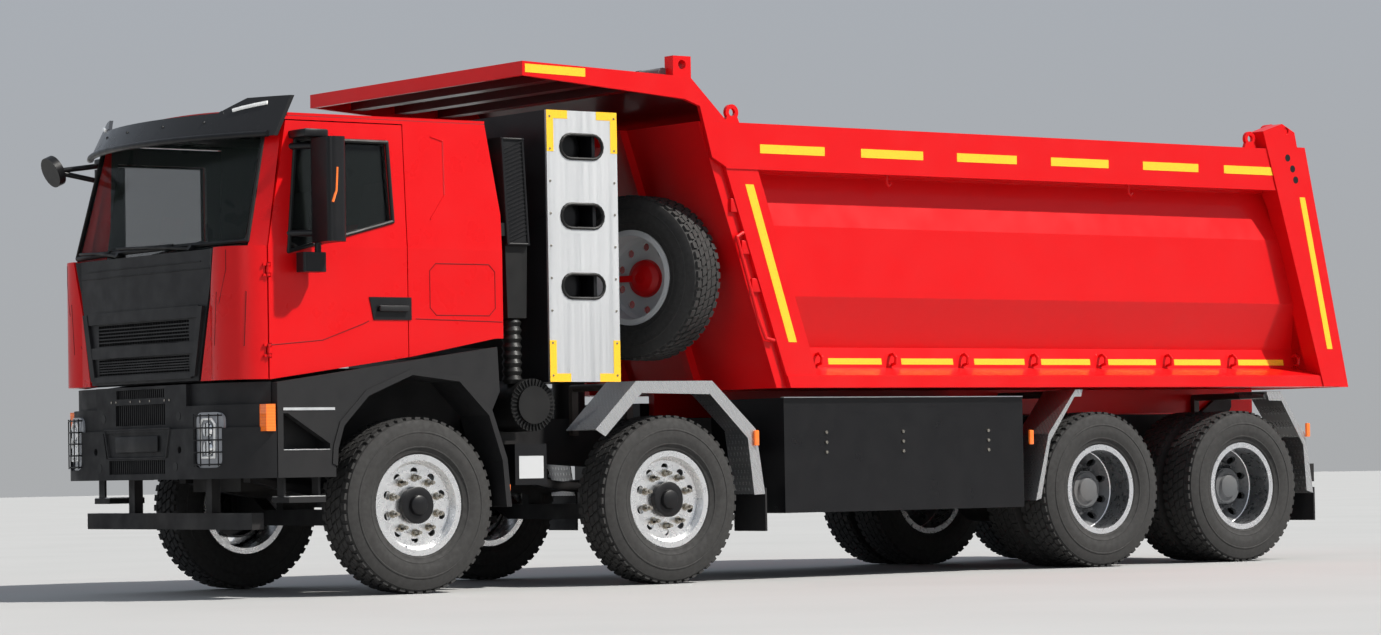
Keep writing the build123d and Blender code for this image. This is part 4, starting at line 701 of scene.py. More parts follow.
def makeTyres():
    made = tyreMesh()
    w = wheelSet
    for axle, place in axlePlaces.items():
        single = axle in w["steered"]
        xs = (w["frontX"],) if single else (w["outerX"], w["outerX"] - w["twin"])
        many = "" if single else "s"
        for word, side in bothSides:
            spots = [(side * x, behind(place), hubZ) for x in xs]
            mesh = placed(made, f"treadTyre{many}{axle}{word}", *spots)
            ridden(f"treadTyre{many}_{axle}_{word}", mesh, f"wheel{many}_{axle}_{word}", "tyre",
                   (f"tyre{many}_{axle}_{word}",))
    low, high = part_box("spare_tyre")
    mesh = placed(made, "treadSpare", (low + high) / 2, turn=w["spareTurn"])
    ridden("treadSpare", mesh, "bed", "tyre", ("spare_tyre",))


makeTyres()
print("tyres with tread")


# Wheel nuts, hub caps and hub bolts
nutSet = {
    "count": 10, "circle": 0.1675, "washer": 0.025, "washerLong": 0.005, "hex": 0.0175, "long": 0.046,
    "taper": 0.92, "stud": 0.0105, "studLong": 0.020, "frontFace": 0.0785, "rearFace": 0.0265,
    "rearMiddle": 0.910, "capBolts": 8, "capCircle": 0.098, "capFace": 0.146, "capBolt": 0.009,
    "capBoltLong": 0.010, "capSides": 40,
    "cap": (  # distance out from the wheel's middle, radius
        (0.079, 0.0), (0.079, 0.113), (0.119, 0.113), (0.123, 0.106), (0.121, 0.064), (0.142, 0.058),
        (0.149, 0.046), (0.150, 0.0)),
    "rearCap": (
        (0.147, 0.0), (0.147, 0.118), (0.156, 0.116), (0.160, 0.086), (0.178, 0.078), (0.184, 0.060),
        (0.186, 0.0)),
}


def nutPart(face):
    n = nutSet
    z = n["circle"]
    hexStart = face + n["washerLong"]
    hexEnd = hexStart + n["long"]
    s = Shape().rod((face, 0, z), (hexStart, 0, z), n["washer"], 16)
    s.rod((hexStart, 0, z), (hexEnd, 0, z), n["hex"], 6, n["hex"] * n["taper"])
    s.rod((hexEnd, 0, z), (hexEnd + n["studLong"], 0, z), n["stud"], 8)
    return s.data("nutPart", "nutSteel")


def capBoltPart():
    n = nutSet
    x, z = n["capFace"], n["capCircle"]
    bolt = Shape().rod((x, 0, z), (x + n["capBoltLong"], 0, z), n["capBolt"], 6)
    return bolt.data("capBoltPart", "nutSteel")


def capMesh(name, profile, material):
    return Shape().turned(profile, (0, 0, 0), nutSet["capSides"]).data(name, material, 40)


def onWheel(mesh, name, side, x, y, z):
    # the left-hand mesh, turned half round for a right-hand wheel, with its place in its vertices
    out = mesh.copy()
    if side < 0:
        out.transform(Matrix.Rotation(math.pi, 4, "Z"))
    out.transform(Matrix.Translation((side * x, y, z)))
    out.name = name
    return out


def dressWheels():
    w, n = wheelSet, nutSet
    frontNuts = ringMesh("frontNuts", nutPart(n["frontFace"]), n["count"], "nutSteel")
    rearNuts = ringMesh("rearNuts", nutPart(n["rearFace"]), n["count"], "rimGrey")
    capBolts = ringMesh("capBolts", capBoltPart(), n["capBolts"], "nutSteel")
    cap, rearCap = capMesh("hubCap", n["cap"], "hubBlack"), capMesh("rearHubCap", n["rearCap"], "rimGrey")
    front = (("wheelNuts", frontNuts, "hoist_steel"), ("hubCap", cap, "black_plastic"))
    rear = [(name, mesh, "rim_steel") for name, mesh in (
        ("wheelNuts", rearNuts), ("hubCap", rearCap), ("capBolts", capBolts))]
    for axle, place in axlePlaces.items():
        single = axle in w["steered"]
        x = w["frontX"] if single else n["rearMiddle"]
        wheel = "wheel" if single else "wheels"
        for word, side in bothSides:
            for name, mesh, slot in front if single else rear:
                copy = onWheel(mesh, f"{name}{axle}{word}", side, x, behind(place), hubZ)
                ridden(f"{name}_{axle}_{word}", copy, f"{wheel}_{axle}_{word}", slot)


dressWheels()
print("wheels dressed")


# Bumper: slats in the slots, wire guards and bowls of the lamps, painted shade in the holes, bolts and the
# blank plate
bumperSet = {
    "front": -1.300, "flat": 0.700, "arc": 0.6073, "wall": 0.028,
    "slots": ((0.300, 1.222, 1.276, 0.028), (0.310, 1.056, 1.184, 0.028), (0.350, 0.758, 0.842, 0.0)),
    "slatPitch": 0.024, "slatWide": 0.007, "slatBack": 0.012, "slotDeep": 0.030,
    "holes": ((0.465, 1.103, 0.028), (0.470, 0.799, 0.0)), "holeRadius": 0.027, "holeDeep": (-0.002, 0.010),
    "bolts": (-0.36, -0.30, -0.12, 0.0, 0.12, 0.30, 0.36), "boltZ": 1.204, "boltRadius": 0.008,
    "boltDeep": (-0.004, 0.010), "recess": ((0.405, 1.032), (0.355, 0.856)), "recessRod": 0.006,
    "plate": (0.262, 0.892, 0.990), "plateDeep": (-0.006, 0.004), "plateRound": 0.004,
}


def bumperFace(x):  # distance behind of the bumper's lower face at a side place
    b = bumperSet
    if abs(x) <= b["flat"]:
        return b["front"]
    return b["front"] + b["arc"] - math.sqrt(b["arc"] ** 2 - (abs(x) - b["flat"]) ** 2)


def slotSlats():
    b = bumperSet
    half = b["slatWide"] / 2
    for index, (reach, low, high, step) in enumerate(b["slots"]):
        count = int(2 * reach / b["slatPitch"])
        gap = 2 * reach / count
        y = behind(b["front"] + step + b["slatBack"])
        slat = Shape().block((-half, y, low), (half, y + b["slotDeep"], high)).data("slat", "grillePlastic")
        rows(f"bumperSlats_{index}", slat, [(count - 1, (-reach + gap, 0, 0), (gap, 0, 0))], "grillePlastic")


guardSet = {
    "x": (0.705, 0.940), "z": (0.788, 1.120), "rod": 0.0045, "off": 0.014, "footOff": -0.012, "inset": 0.012,
    "end": 0.02, "steps": 8, "levels": 5, "posts": (0.717, 0.785, 0.860, 0.928), "postEnd": 0.01,
    "loop": (
        (0.765, 0.85), (0.760, 1.05), (0.785, 1.08), (0.860, 1.08), (0.885, 1.05), (0.880, 0.85),
        (0.765, 0.85)),
    "loopRod": 0.007, "loopOff": -0.004, "bowlX": 0.8225, "bowls": (0.905, 1.015), "bowlOff": (-0.012, 0.002),
    "bowlRadius": (0.048, 0.040),
}


def lampGuards():
    g = guardSet
    wires, rings, bowls = Shape(), Shape(), Shape()
    low, high = g["z"]
    xs = even(g["x"][0] + g["inset"], g["x"][1] - g["inset"], g["steps"])
    for side in (1, -1):
        def face(x, off, z):  # a point before the bumper's face
            return Vector(spot(side * x, bumperFace(x) - off, z))

        for z in even(low + g["end"], high - g["end"], g["levels"] - 1):
            feet = [face(x, g["footOff"], z) for x in (xs[0], xs[-1])]
            wires.bent(feet[:1] + [face(x, g["off"], z) for x in xs] + feet[1:], g["rod"], 6)
        for x in g["posts"]:
            ends = [face(x, g["off"], z) for z in (low + g["postEnd"], high - g["postEnd"])]
            wires.rod(*ends, g["rod"], 6)
        # bright running-light loop and two bowls on the lens, inside the guard
        rings.bent([face(x, g["loopOff"], z) for x, z in g["loop"]], g["loopRod"])
        for z in g["bowls"]:
            back, front = (face(g["bowlX"], off, z) for off in g["bowlOff"])
            bowls.rod(back, front, g["bowlRadius"][0], 24, g["bowlRadius"][1])
    wires.piece("lampGuards", "hubBlack", slot="chassis_black")
    rings.piece("lampLoops", "whiteLens", slot="lamp_lens")
    bowls.piece("lampBowls", "mirrorChrome", slot="lamp_lens")


def bumperFixings():
    b = bumperSet
    holes, bolts, outline, plate = Shape(), Shape(), Shape(), Shape()
    y = behind(b["front"])
    # painted shade: a black disc in each hole stands in for the shadow inside it
    for x, z, step in b["holes"]:
        for side in (1, -1):
            holes.rod(*[(side * x, y + step + deep, z) for deep in b["holeDeep"]], b["holeRadius"], 20)
    for x in b["bolts"]:
        bolts.rod(*[(x, y + b["wall"] + deep, b["boltZ"]) for deep in b["boltDeep"]], b["boltRadius"], 6)
    (wide, high), (narrow, low) = b["recess"]
    corners = [(-wide, high), (-narrow, low), (narrow, low), (wide, high), (-wide, high)]
    outline.bent([(x, y, z) for x, z in corners], b["recessRod"], 6)
    half, low, high = b["plate"]
    plate.block((-half, y + b["plateDeep"][0], low), (half, y + b["plateDeep"][1], high), b["plateRound"])
    holes.piece("bumperHoles", "hubBlack", slot="chassis_black")
    bolts.piece("bumperBolts", "nutSteel", slot="chassis_black")
    outline.piece("plateOutline", "grillePlastic")
    plate.piece("blankPlate", "grillePlastic")


slotSlats()
lampGuards()
bumperFixings()
print("bumper dressed")


# Grille lid: mesh in both bands and trim lines
grilleSet = {
    "front": -1.258, "bow": 0.022, "flat": 0.800, "bands": ((1.374, 1.472), (1.558, 1.686)), "half": 0.556,
    "pitch": 0.032, "meshRows": 3, "meshBack": 0.022, "meshDeep": 0.014, "wireHalf": 0.0025,
    "barZ": ((1.330, 1.366), (1.480, 1.550), (1.694, 1.765)), "barOff": (0.016, -0.010), "barHalf": 0.60,
    "barSpread": 0.25, "cheek": ((0.590, 1.340), (0.690, 1.760)), "cheekWide": 0.055, "steps": 12,
    "beads": ((1.985, 0.80), (2.030, 0.70)), "beadRod": 0.004, "beadOff": 0.001,
}


def lidFace(x, off):  # y of a place so far before the lid's bowed front
    g = grilleSet
    return behind(g["front"] + g["bow"] * (x / g["flat"]) ** 2 - off)


def lidMesh():
    g = grilleSet
    wire, pitch = g["wireHalf"], g["pitch"]
    count = int(2 * g["half"] / pitch)
    y = behind(g["front"] + g["meshBack"])
    for index, (low, high) in enumerate(g["bands"]):
        tall = (high - low) / g["meshRows"]
        part = Shape()
        for k in range(g["meshRows"]):  # one column of a brick-like mesh
            z = low + tall * k
            shift = pitch / 2 * (k % 2)
            part.block((shift - wire, y, z), (shift + wire, y + g["meshDeep"], z + tall))
        line = (count, (-g["half"] + pitch / 2, 0, 0), (pitch, 0, 0))
        column = part.data("meshColumn", "grillePlastic")
        rows(f"grilleMesh_{index}", column, [line], "grillePlastic", "front_lid")


def lidBars():
    g = grilleSet
    s, beads = Shape(), Shape()
    out, back = g["barOff"]
    for low, high in g["barZ"]:
        half = g["barHalf"] + (low - g["barZ"][0][0]) * g["barSpread"]
        xs = even(-half, half, g["steps"])
        outline = [(x, lidFace(x, out)) for x in xs] + [(x, lidFace(x, back)) for x in reversed(xs)]
        s.prism(outline, low, high, "XY")
    (foot, low), (head, high) = g["cheek"]
    wide = g["cheekWide"]
    cheek = ((foot, low), (foot + wide, low), (head + wide, high), (head, high))
    for side in (1, -1):
        ends = sorted((lidFace(foot, out), lidFace(head, back)))
        s.prism([(side * x, z) for x, z in cheek], *ends, "XZ")
    s.piece("grilleBars", "grillePlastic", "front_lid", smooth=30)
    for z, half in g["beads"]:
        xs = even(-half, half, g["steps"])
        beads.bent([(x, lidFace(x, g["beadOff"]), z) for x in xs], g["beadRod"], 6)
    beads.piece("lidBeads", "grillePlastic", "front_lid")


lidMesh()
lidBars()


# Windscreen gasket, wipers, and the doors' gaskets and handles
screenSet = {
    "low": (1.062, -1.128, -1.222), "lowZ": 2.105, "top": (1.000, -0.944, -1.040), "topZ": 2.868,
    "gasket": 0.016, "gasketOff": 0.002, "edge": 0.992, "shares": (0.040, 0.985), "across": 10, "up": 8,
}
wiperSet = {  # a place on the screen is a share of its height and a distance before the glass
    "wipers": ((0.52, -0.36, 0.06), (-0.30, -0.93, -0.62)),  # pivot, blade end and joint along the arc
    "foot": (0.01, 0.030), "elbow": (0.035, 0.036), "joint": (0.055, 0.030), "heel": (0.055, 0.016),
    "tip": (0.075, 0.016), "heelShare": 0.55, "arm": 0.010, "blade": 0.009, "pivot": 0.020,
    "pivotEnds": ((0, 0.02, -0.01), (0, -0.01, 0.01)),
}


def arcPoint(arc, t):  # t from -1 to 1 along a (half width, end, middle) arc
    half, end, middle = arc
    rise = end - middle
    radius = (half * half + rise * rise) / (2 * rise)
    x = half * t
    return x, middle + radius - math.sqrt(radius * radius - x * x)


def screenPoint(t, share, off=0.0):
    g = screenSet
    ends = zip((*arcPoint(g["low"], t), g["lowZ"]), (*arcPoint(g["top"], t), g["topZ"]))
    x, back, z = (a + (b - a) * share for a, b in ends)
    return Vector(spot(x, back - off, z))


def screenTrim():
    g = screenSet
    end, (low, high) = g["edge"], g["shares"]
    across = [k / g["across"] * end for k in range(-g["across"], g["across"] + 1)]
    up = even(0.0, 1.0, g["up"])[1:-1]
    loop = [(t, low) for t in across] + [(end, s) for s in up]
    loop += [(t, high) for t in reversed(across)] + [(-end, s) for s in reversed(up)] + [(-end, low)]
    points = [screenPoint(t, share, g["gasketOff"]) for t, share in loop]
    Shape().bent(points, g["gasket"]).piece("screenGasket", "hoseRubber")


def makeWipers():
    w = wiperSet
    wipers = Shape()
    for root, tip, mid in w["wipers"]:
        foot = screenPoint(root, *w["foot"])
        joint = screenPoint(mid, *w["joint"])
        heel = screenPoint(mid + (root - mid) * w["heelShare"], *w["heel"])
        wipers.bent([foot, screenPoint((root + mid) / 2, *w["elbow"]), joint], w["arm"])
        wipers.bent([heel, joint, screenPoint(tip, *w["tip"])], w["blade"])
        wipers.rod(*[foot + Vector(e) for e in w["pivotEnds"]], w["pivot"])
    wipers.piece("wipers", "hoseRubber")


doorSet = {
    "window": ((-0.900, 2.072), (-0.822, 2.752), (-0.170, 2.752), (-0.152, 2.268)), "gasket": 0.013,
    "gasketOut": 0.001, "handle": ((-0.336, 1.668), (-0.033, 1.806)), "slant": 0.03, "dish": (-0.002, 0.006),
    "pull": (0.004, 0.034), "pullBack": (0.06, -0.03), "pullZ": (0.050, 0.088), "pullRound": 0.008,
    "half": 1.150, "topHalf": 1.106, "waist": 2.105, "eave": 2.890,
}


def cabSide(z):  # the cab's half width at a height
    d = doorSet
    return d["half"] - max(0.0, z - d["waist"]) / (d["eave"] - d["waist"]) * (d["half"] - d["topHalf"])


def doorTrim():
    d = doorSet
    x = d["half"]
    (b0, z0), (b1, z1) = d["handle"]
    outline = [(behind(b), z) for b, z in ((b0 + d["slant"], z0), (b1, z0), (b1, z1), (b0, z1))]
    for word, side in bothSides:
        body = f"{word}_door"
        points = [spot(side * (cabSide(z) + d["gasketOut"]), b, z) for b, z in d["window"]]
        Shape().bent(points + points[:2], d["gasket"]).piece(f"windowGasket_{word}", "hoseRubber", body)
        dish = Shape().prism(outline, *sideSpan(side, x + d["dish"][0], x + d["dish"][1]))
        dish.piece(f"handleDish_{word}", "mirrorPlastic", body)
        pull = Shape().sideBlock(
            side, [x + out for out in d["pull"]], (b0 + d["pullBack"][0], b1 + d["pullBack"][1]),
            [z0 + up for up in d["pullZ"]], d["pullRound"])
        pull.piece(f"doorPull_{word}", "grillePlastic", body)


screenTrim()
makeWipers()
doorTrim()
print("cab trimmed")


# Rack end plates: oval edging, rivets and yellow corner marks
rackSet = {
    "face": 1.184, "front": 0.972, "rear": 1.516, "low": 1.290, "high": 2.995, "ovals": (1.891, 2.332, 2.770),
    "ovalBack": 1.240, "ovalLong": 0.325, "ovalHigh": 0.152, "ovalSteps": 8, "edging": 0.010,
    "rivet": 0.007, "rivets": 9, "rivetOut": 0.006, "rivetFoot": 1.3, "rivetTop": 0.7, "rivetInset": 0.024,
    "rivetEnd": 0.04, "mark": 0.052, "markLong": 0.16, "markTall": 0.26, "tape": 0.0015,
}


def ovalLoop(z, side):
    r = rackSet
    radius = r["ovalHigh"] / 2
    half = r["ovalLong"] / 2 - radius
    points = []
    for end, start in ((1, -90), (-1, 90)):
        for angle in even(start, start + 180, r["ovalSteps"]):
            a = math.radians(angle)
            back = r["ovalBack"] + end * half + radius * math.cos(a)
            points.append(spot(side * r["face"], back, z + radius * math.sin(a)))
    return points + points[:1]


def rackTrim():
    r = rackSet
    edging, marks = Shape(), Shape()
    x, long, tall, wide = r["face"], r["markLong"], r["markTall"], r["mark"]
    angle = ((0, 0), (long, 0), (long, wide), (wide, wide), (wide, tall), (0, tall))  # an L for one corner
    for side in (1, -1):
        for z in r["ovals"]:
            edging.bent(ovalLoop(z, side), r["edging"])
        for z0, up in ((r["low"], 1), (r["high"], -1)):
            for b0, back in ((r["front"], 1), (r["rear"], -1)):
                corner = [(behind(b0 + back * b), z0 + up * z) for b, z in angle]
                marks.prism(corner, *sideSpan(side, x, x + r["tape"]))
    edging.piece("ovalEdging", "hoseRubber")
    marks.piece("rackMarks", "yellowTape", slot="lamp_lens")
    foot, top = r["rivet"] * r["rivetFoot"], r["rivet"] * r["rivetTop"]
    step = (r["high"] - r["low"] - 2 * r["rivetEnd"]) / (r["rivets"] - 1)
    columns = (r["front"] + r["rivetInset"], r["rear"] - r["rivetInset"])
    lines = [(r["rivets"], spot(0, b, r["low"] + r["rivetEnd"]), (0, 0, step)) for b in columns]
    for word, side in bothSides:
        head = Shape().rod((side * x, 0, 0), (side * (x + r["rivetOut"]), 0, 0), foot, 8, top)
        rows(f"rackRivets_{word}", head.data("rivetHead", "nutSteel"), lines, "nutSteel", slot="hoist_steel")


rackTrim()
print("rack trimmed")


# Bed: tape, hooks, handle, step tabs and painted shade in the post holes
tapeSet = {
    "thick": 0.0015, "half": 1.250, "frontHalf": 1.242, "rearHalf": 1.258, "railZ": (2.772, 2.830),
    "railLong": 0.54, "railStarts": (2.619, 3.470, 4.311, 5.167, 6.037, 6.832),
    "shelfZ": (1.408, 1.449), "shelfLong": 0.46,
    "shelfStarts": (3.341, 3.975, 4.627, 5.243, 5.877, 6.518, 7.158),
    "frontPost": ((2.498, 2.567), (2.566, 2.567), (2.902, 1.546), (2.834, 1.546)),
    "rearPost": ((7.585, 2.620), (7.640, 2.620), (7.890, 1.521), (7.835, 1.521)),
    "canopy": ((0.770, 3.215), (1.230, 3.206), (1.230, 3.259), (0.770, 3.268)),
    "wallHalf": 1.010, "wallFlare": 0.032, "wallTop": 1.520, "wallTall": 0.220,
}


def wallFace(z):  # the bed wall's outer face near its foot
    t = tapeSet
    return t["wallHalf"] + t["wallFlare"] * (t["wallTop"] - z) / t["wallTall"]


def makeTape():
    t = tapeSet
    s = Shape()
    thick, (low, high) = t["thick"], t["shelfZ"]
    foot, head = wallFace(low), wallFace(high)
    section = [(foot, low), (foot + thick, low), (head + thick, high), (head, high)]
    for side in (1, -1):
        for start in t["railStarts"]:
            s.sideBlock(side, (t["half"], t["half"] + thick), (start, start + t["railLong"]), t["railZ"])
        for name, face in (("frontPost", t["frontHalf"]), ("rearPost", t["rearHalf"]), ("canopy", t["half"])):
            s.prism([(behind(b), z) for b, z in t[name]], *sideSpan(side, face, face + thick))
        for start in t["shelfStarts"]:
            s.prism([(side * x, z) for x, z in section], behind(start), behind(start + t["shelfLong"]), "XZ")
    s.piece("bedTape", "yellowTape", "bed", "lamp_lens")


hookSet = {
    "first": 3.243, "step": 0.640, "count": 8, "rod": 0.011,
    "hook": ((1.005, 1.470), (1.050, 1.480), (1.078, 1.455), (1.074, 1.415), (1.030, 1.405)),
    "topHooks": (3.742, 5.954), "topX": 1.185, "topZ": 2.665, "topRod": 0.009,
    "topHook": ((0.0, 0.004), (0.0, -0.05), (0.018, -0.068), (0.036, -0.05)),
    "tabs": ((2.405, 2.429), (2.489, 2.159), (2.566, 1.914)), "tabX": (1.160, 1.235),
    "tabBack": (-0.020, 0.060), "tabHalf": 0.045, "tabRound": 0.006,
    "handle": ((2.480, 2.255), (2.425, 2.225), (2.590, 1.700), (2.650, 1.570), (2.720, 1.555)),
    "handleX": 1.236, "handleRod": 0.012,
    "holes": ((7.473, 2.903), (7.521, 2.825), (7.550, 2.745)), "holeX": (1.257, 1.2585), "holeRadius": 0.026,
}


def bedHooks():
    h = hookSet
    line = (h["count"], spot(0, h["first"], 0), (0, h["step"], 0))
    fittings, holes = Shape(), Shape()
    for word, side in bothSides:
        hook = Shape().bent([(side * x, 0, z) for x, z in h["hook"]], h["rod"]).data("ropeHook", "bedRed", 40)
        rows(f"ropeHooks_{word}", hook, [line], "bedRed", "bed", "bed_red", 40)
        for back in h["topHooks"]:
            points = stepped((back, h["topZ"]), h["topHook"])
            fittings.bent([spot(side * h["topX"], b, z) for b, z in points], h["topRod"])
        for b, z in h["tabs"]:
            backs = [b + more for more in h["tabBack"]]
            fittings.sideBlock(side, h["tabX"], backs, (z - h["tabHalf"], z + h["tabHalf"]), h["tabRound"])
        fittings.bent([spot(side * h["handleX"], b, z) for b, z in h["handle"]], h["handleRod"])
        # painted shade: thin black discs on the rear post stand in for the shadow inside its holes
        for b, z in h["holes"]:
            holes.rod(*[spot(side * x, b, z) for x in h["holeX"]], h["holeRadius"], 24)
    fittings.piece("bedFittings", "bedRed", "bed", "bed_red", 40)
    holes.piece("postHoles", "hubBlack", "bed", "bed_red")


makeTape()
bedHooks()
print("bed dressed")


# Chassis: side box bolts, step treads, side markers, bright strips, engine shields and the blank label
chassisSet = {  # spans are of the side, the distance behind the first axle and the height
    "boxFace": 1.180, "boltColumns": (3.185, 3.846, 4.602), "boltRows": 3, "boltZ": 0.826, "boltStep": 0.065,
    "boltOut": 0.008, "boltRadius": 0.012,
    "markers": ((0.625, 0.609, 1.190), (2.560, 0.924, 1.222), (4.985, 0.907, 1.180), (7.640, 0.934, 1.222)),
    "markerOut": 0.020, "markerHalf": (0.018, 0.05), "markerRound": 0.006,
    "treads": (((1.055, 1.203), (-1.000, -0.645), 0.884), ((1.000, 1.194), (-0.945, -0.690), 0.606)),
    "treadThick": 0.006, "treadRound": 0.002,
    "strips": (
        ((1.2045, 1.2085), (-0.985, -0.625), (1.122, 1.138)),
        ((1.150, 1.184), (2.832, 4.920), (1.184, 1.190))),
    "shield": ((0.455, 0.463), (-0.780, 0.720), (0.960, 1.330)),
    "label": ((1.0895, 1.0915), (0.790, 0.975), (0.690, 0.830)),
}


def chassisTrim():
    c = chassisSet
    x = c["boxFace"]
    lines = [(c["boltRows"], spot(0, b, c["boltZ"]), (0, 0, c["boltStep"])) for b in c["boltColumns"]]
    lenses, treads, bright, shields = Shape(), Shape(), Shape(), Shape()
    for word, side in bothSides:
        head = Shape().rod((side * x, 0, 0), (side * (x + c["boltOut"]), 0, 0), c["boltRadius"], 6)
        rows(f"boxBolts_{word}", head.data("boxBolt", "nutSteel"), lines, "nutSteel", slot="chassis_black")
        half, tall = c["markerHalf"]
        for b, z, face in c["markers"]:
            spans = (face, face + c["markerOut"]), (b - half, b + half), (z - tall, z + tall)
            lenses.sideBlock(side, *spans, c["markerRound"])
        for xs, backs, z in c["treads"]:
            treads.sideBlock(side, xs, backs, (z, z + c["treadThick"]), c["treadRound"])
        for spans in c["strips"]:
            bright.sideBlock(side, *spans)
        shields.sideBlock(side, *c["shield"])
    lenses.piece("sideMarkers", "orangeLens", slot="lamp_lens")
    shields.piece("engineShields", "chassisBlack", slot="chassis_black")
    treads.piece("stepTreads", "chequerAlloy", slot="alloy")
    bright.piece("brightStrips", "plateAlloy", slot="alloy")
    Shape().sideBlock(1, *c["label"]).piece("blankLabel", "rimPaint", slot="lamp_lens")


chassisTrim()
print("chassis trimmed")


# Air filter cover: ribs round its rim and rings on its face
filterSet = {
    "face": 1.128, "rim": 0.165, "inner": 0.119, "back": 0.873, "z": 1.147, "ribs": 36, "ribHalf": 0.004,
    "sink": 0.002, "ribOut": 0.010, "ribClear": (0.004, 0.002), "ringOut": 0.007, "ringSides": 40,
    "rings": ((0.108, 0.119), (0.076, 0.082), (0.030, 0.050)),
}


def filterRibs():
    f = filterSet
    half, inside = f["ribHalf"], f["face"] - f["sink"]
    (low, high), outside = f["ribClear"], f["face"] + f["ringOut"]
    rib = Shape().block((inside, -half, f["inner"] + low), (f["face"] + f["ribOut"], half, f["rim"] - high))
    mesh = ringMesh("filterRibs", rib.data("filterRib", "hoseRubber"), f["ribs"], "hoseRubber")
    centre = spot(0, f["back"], f["z"])
    mesh.transform(Matrix.Translation(Vector(centre)))
    ridden("filterRibs", mesh, "chassis", "black_plastic")
    rings = Shape()
    for inner, outer in f["rings"]:
        section = [(inside, inner), (inside, outer), (outside, outer), (outside, inner)]
        rings.turned(section, centre, f["ringSides"])
    rings.piece("filterRings", "mirrorPlastic", smooth=40)


filterRibs()


# Cab skin: painted shade along the crease and belt line, the hatch outline, the pressing and the corner
# panels' shut lines
castSet = {"ahead": -2.5, "after": 9.5, "above": 5.0}  # where rays to the CAD nodes start


def onNode(name, start, way):  # the first place on a CAD node from a point along a direction, if any
    hit, place = nodes[name].ray_cast(Vector(start), Vector(way))[:2]
    return place if hit else None


def onFront(name, x, z):  # the place on a node's front, if any
    return onNode(name, spot(x, castSet["ahead"], z), (0, 1, 0))


seamSet = {
    "line": 0.0028, "pressRod": 0.0056,
    "crease": ((-1.030, 1.512), (-0.666, 1.543), (-0.380, 1.642), (-0.340, 1.660)),
    "belt": ((0.000, 1.676), (0.640, 1.662)), "hatch": (0.106, 0.588, 1.700, 2.017), "corner": 0.045,
    "pressing": ((0.150, 2.800), (0.240, 2.775), (0.235, 2.440), (0.125, 2.290)),
    "shut": ((0.985, 2.085), (0.984, 1.964), (0.930, 1.780), (0.800, 1.554)),
    "flap": ((0.900, 1.835), (1.090, 1.830), (1.080, 1.510), (0.870, 1.520), (0.900, 1.835)),
}


def cabSeams():
    g = seamSet
    b0, b1, z0, z1 = g["hatch"]
    c = g["corner"]
    hatch = [(b0 + c, z0), (b1 - c, z0), (b1, z0 + c), (b1, z1 - c), (b1 - c, z1), (b0 + c, z1), (b0, z1 - c)]
    hatch += [(b0, z0 + c), (b0 + c, z0)]
    body, skin = Shape(), Shape()
    for word, side in bothSides:
        def line(points):
            return [spot(side * cabSide(z), b, z) for b, z in points]

        # the crease and belt line rods are painted shade: dark red where the body's fold falls in shade; the
        # hatch outline and shut lines are dark joints
        crease = Shape().bent(line(g["crease"]), g["line"], 6)
        crease.piece(f"doorCrease_{word}", "seamRed", f"{word}_door", "cab_red")
        for points in (g["belt"], hatch):
            skin.bent(line(points), g["line"], 6)
        body.bent(line(g["pressing"]), g["pressRod"], 6)
        for points in (g["shut"], g["flap"]):
            found = [onFront("corner_panels", side * x, z) for x, z in points]
            skin.bent([p for p in found if p], g["line"], 6)
    skin.piece("cabSeams", "seamRed", slot="cab_red")
    body.piece("cabPressing", "cabRed", slot="cab_red")


# Sun visor: lamps in the horns, screws and a rolled lower edge; mirror brackets and side strips
visorSet = {
    "lamp": ((0.790, 2.938), (0.850, 2.950), (0.930, 2.962), (1.010, 2.972)), "lampRod": 0.013,
    "screws": (0.22, 0.60), "screwZ": 2.875, "screwDeep": (0.006, -0.004), "screwRadius": 0.010,
    "lip": 1.100, "lipZ": 2.778, "lipRod": 0.020, "lipSteps": 16,
    "bracket": ((1.095, 1.300), (-0.866, -0.700), (2.752, 2.800)), "bracketRound": 0.010,
    "strip": ((-0.775, 2.352), (-0.750, 2.420), (-0.742, 2.560)), "stripX": 1.456, "stripRod": 0.008,
}


def visorTrim():
    v = visorSet
    lamps, dark = Shape(), Shape()
    for side in (1, -1):
        lamps.bent([onFront("sun_visor", side * x, z) for x, z in v["lamp"]], v["lampRod"])
        for x in v["screws"]:
            place = onFront("sun_visor", side * x, v["screwZ"])
            dark.rod(*[place + Vector((0, deep, 0)) for deep in v["screwDeep"]], v["screwRadius"], 10)
    xs = even(-v["lip"], v["lip"], v["lipSteps"])
    dark.bent([onFront("sun_visor", x, v["lipZ"]) for x in xs], v["lipRod"], 10)
    lamps.piece("visorLamps", "whiteLens", slot="lamp_lens")
    dark.piece("visorLip", "mirrorPlastic", smooth=50)


def mirrorTrim():
    v = visorSet
    for word, side in bothSides:
        arm = Shape().sideBlock(side, *v["bracket"], v["bracketRound"])
        arm.piece(f"mirrorBracket_{word}", "mirrorPlastic", f"{word}_door")
        strip = Shape().bent([spot(side * v["stripX"], b, z) for b, z in v["strip"]], v["stripRod"])
        strip.piece(f"mirrorStrip_{word}", "orangeLens", f"{word}_door", "lamp_lens")


cabSeams()
visorTrim()
mirrorTrim()
print("cab skin and visor trimmed")


# Air intake: framed slanted slats on its outer side
slatSet = {
    "face": 1.125, "corners": ((0.668, 2.806), (0.822, 2.806), (0.858, 2.150), (0.704, 2.150)),
    "backThick": 0.003, "out": 0.006, "frameRod": 0.009, "cornerOut": 0.018, "cornerRod": 0.007,
    "count": 24, "rise": 0.060, "rod": 0.0045, "clear": 0.010, "trim": 0.004,
}


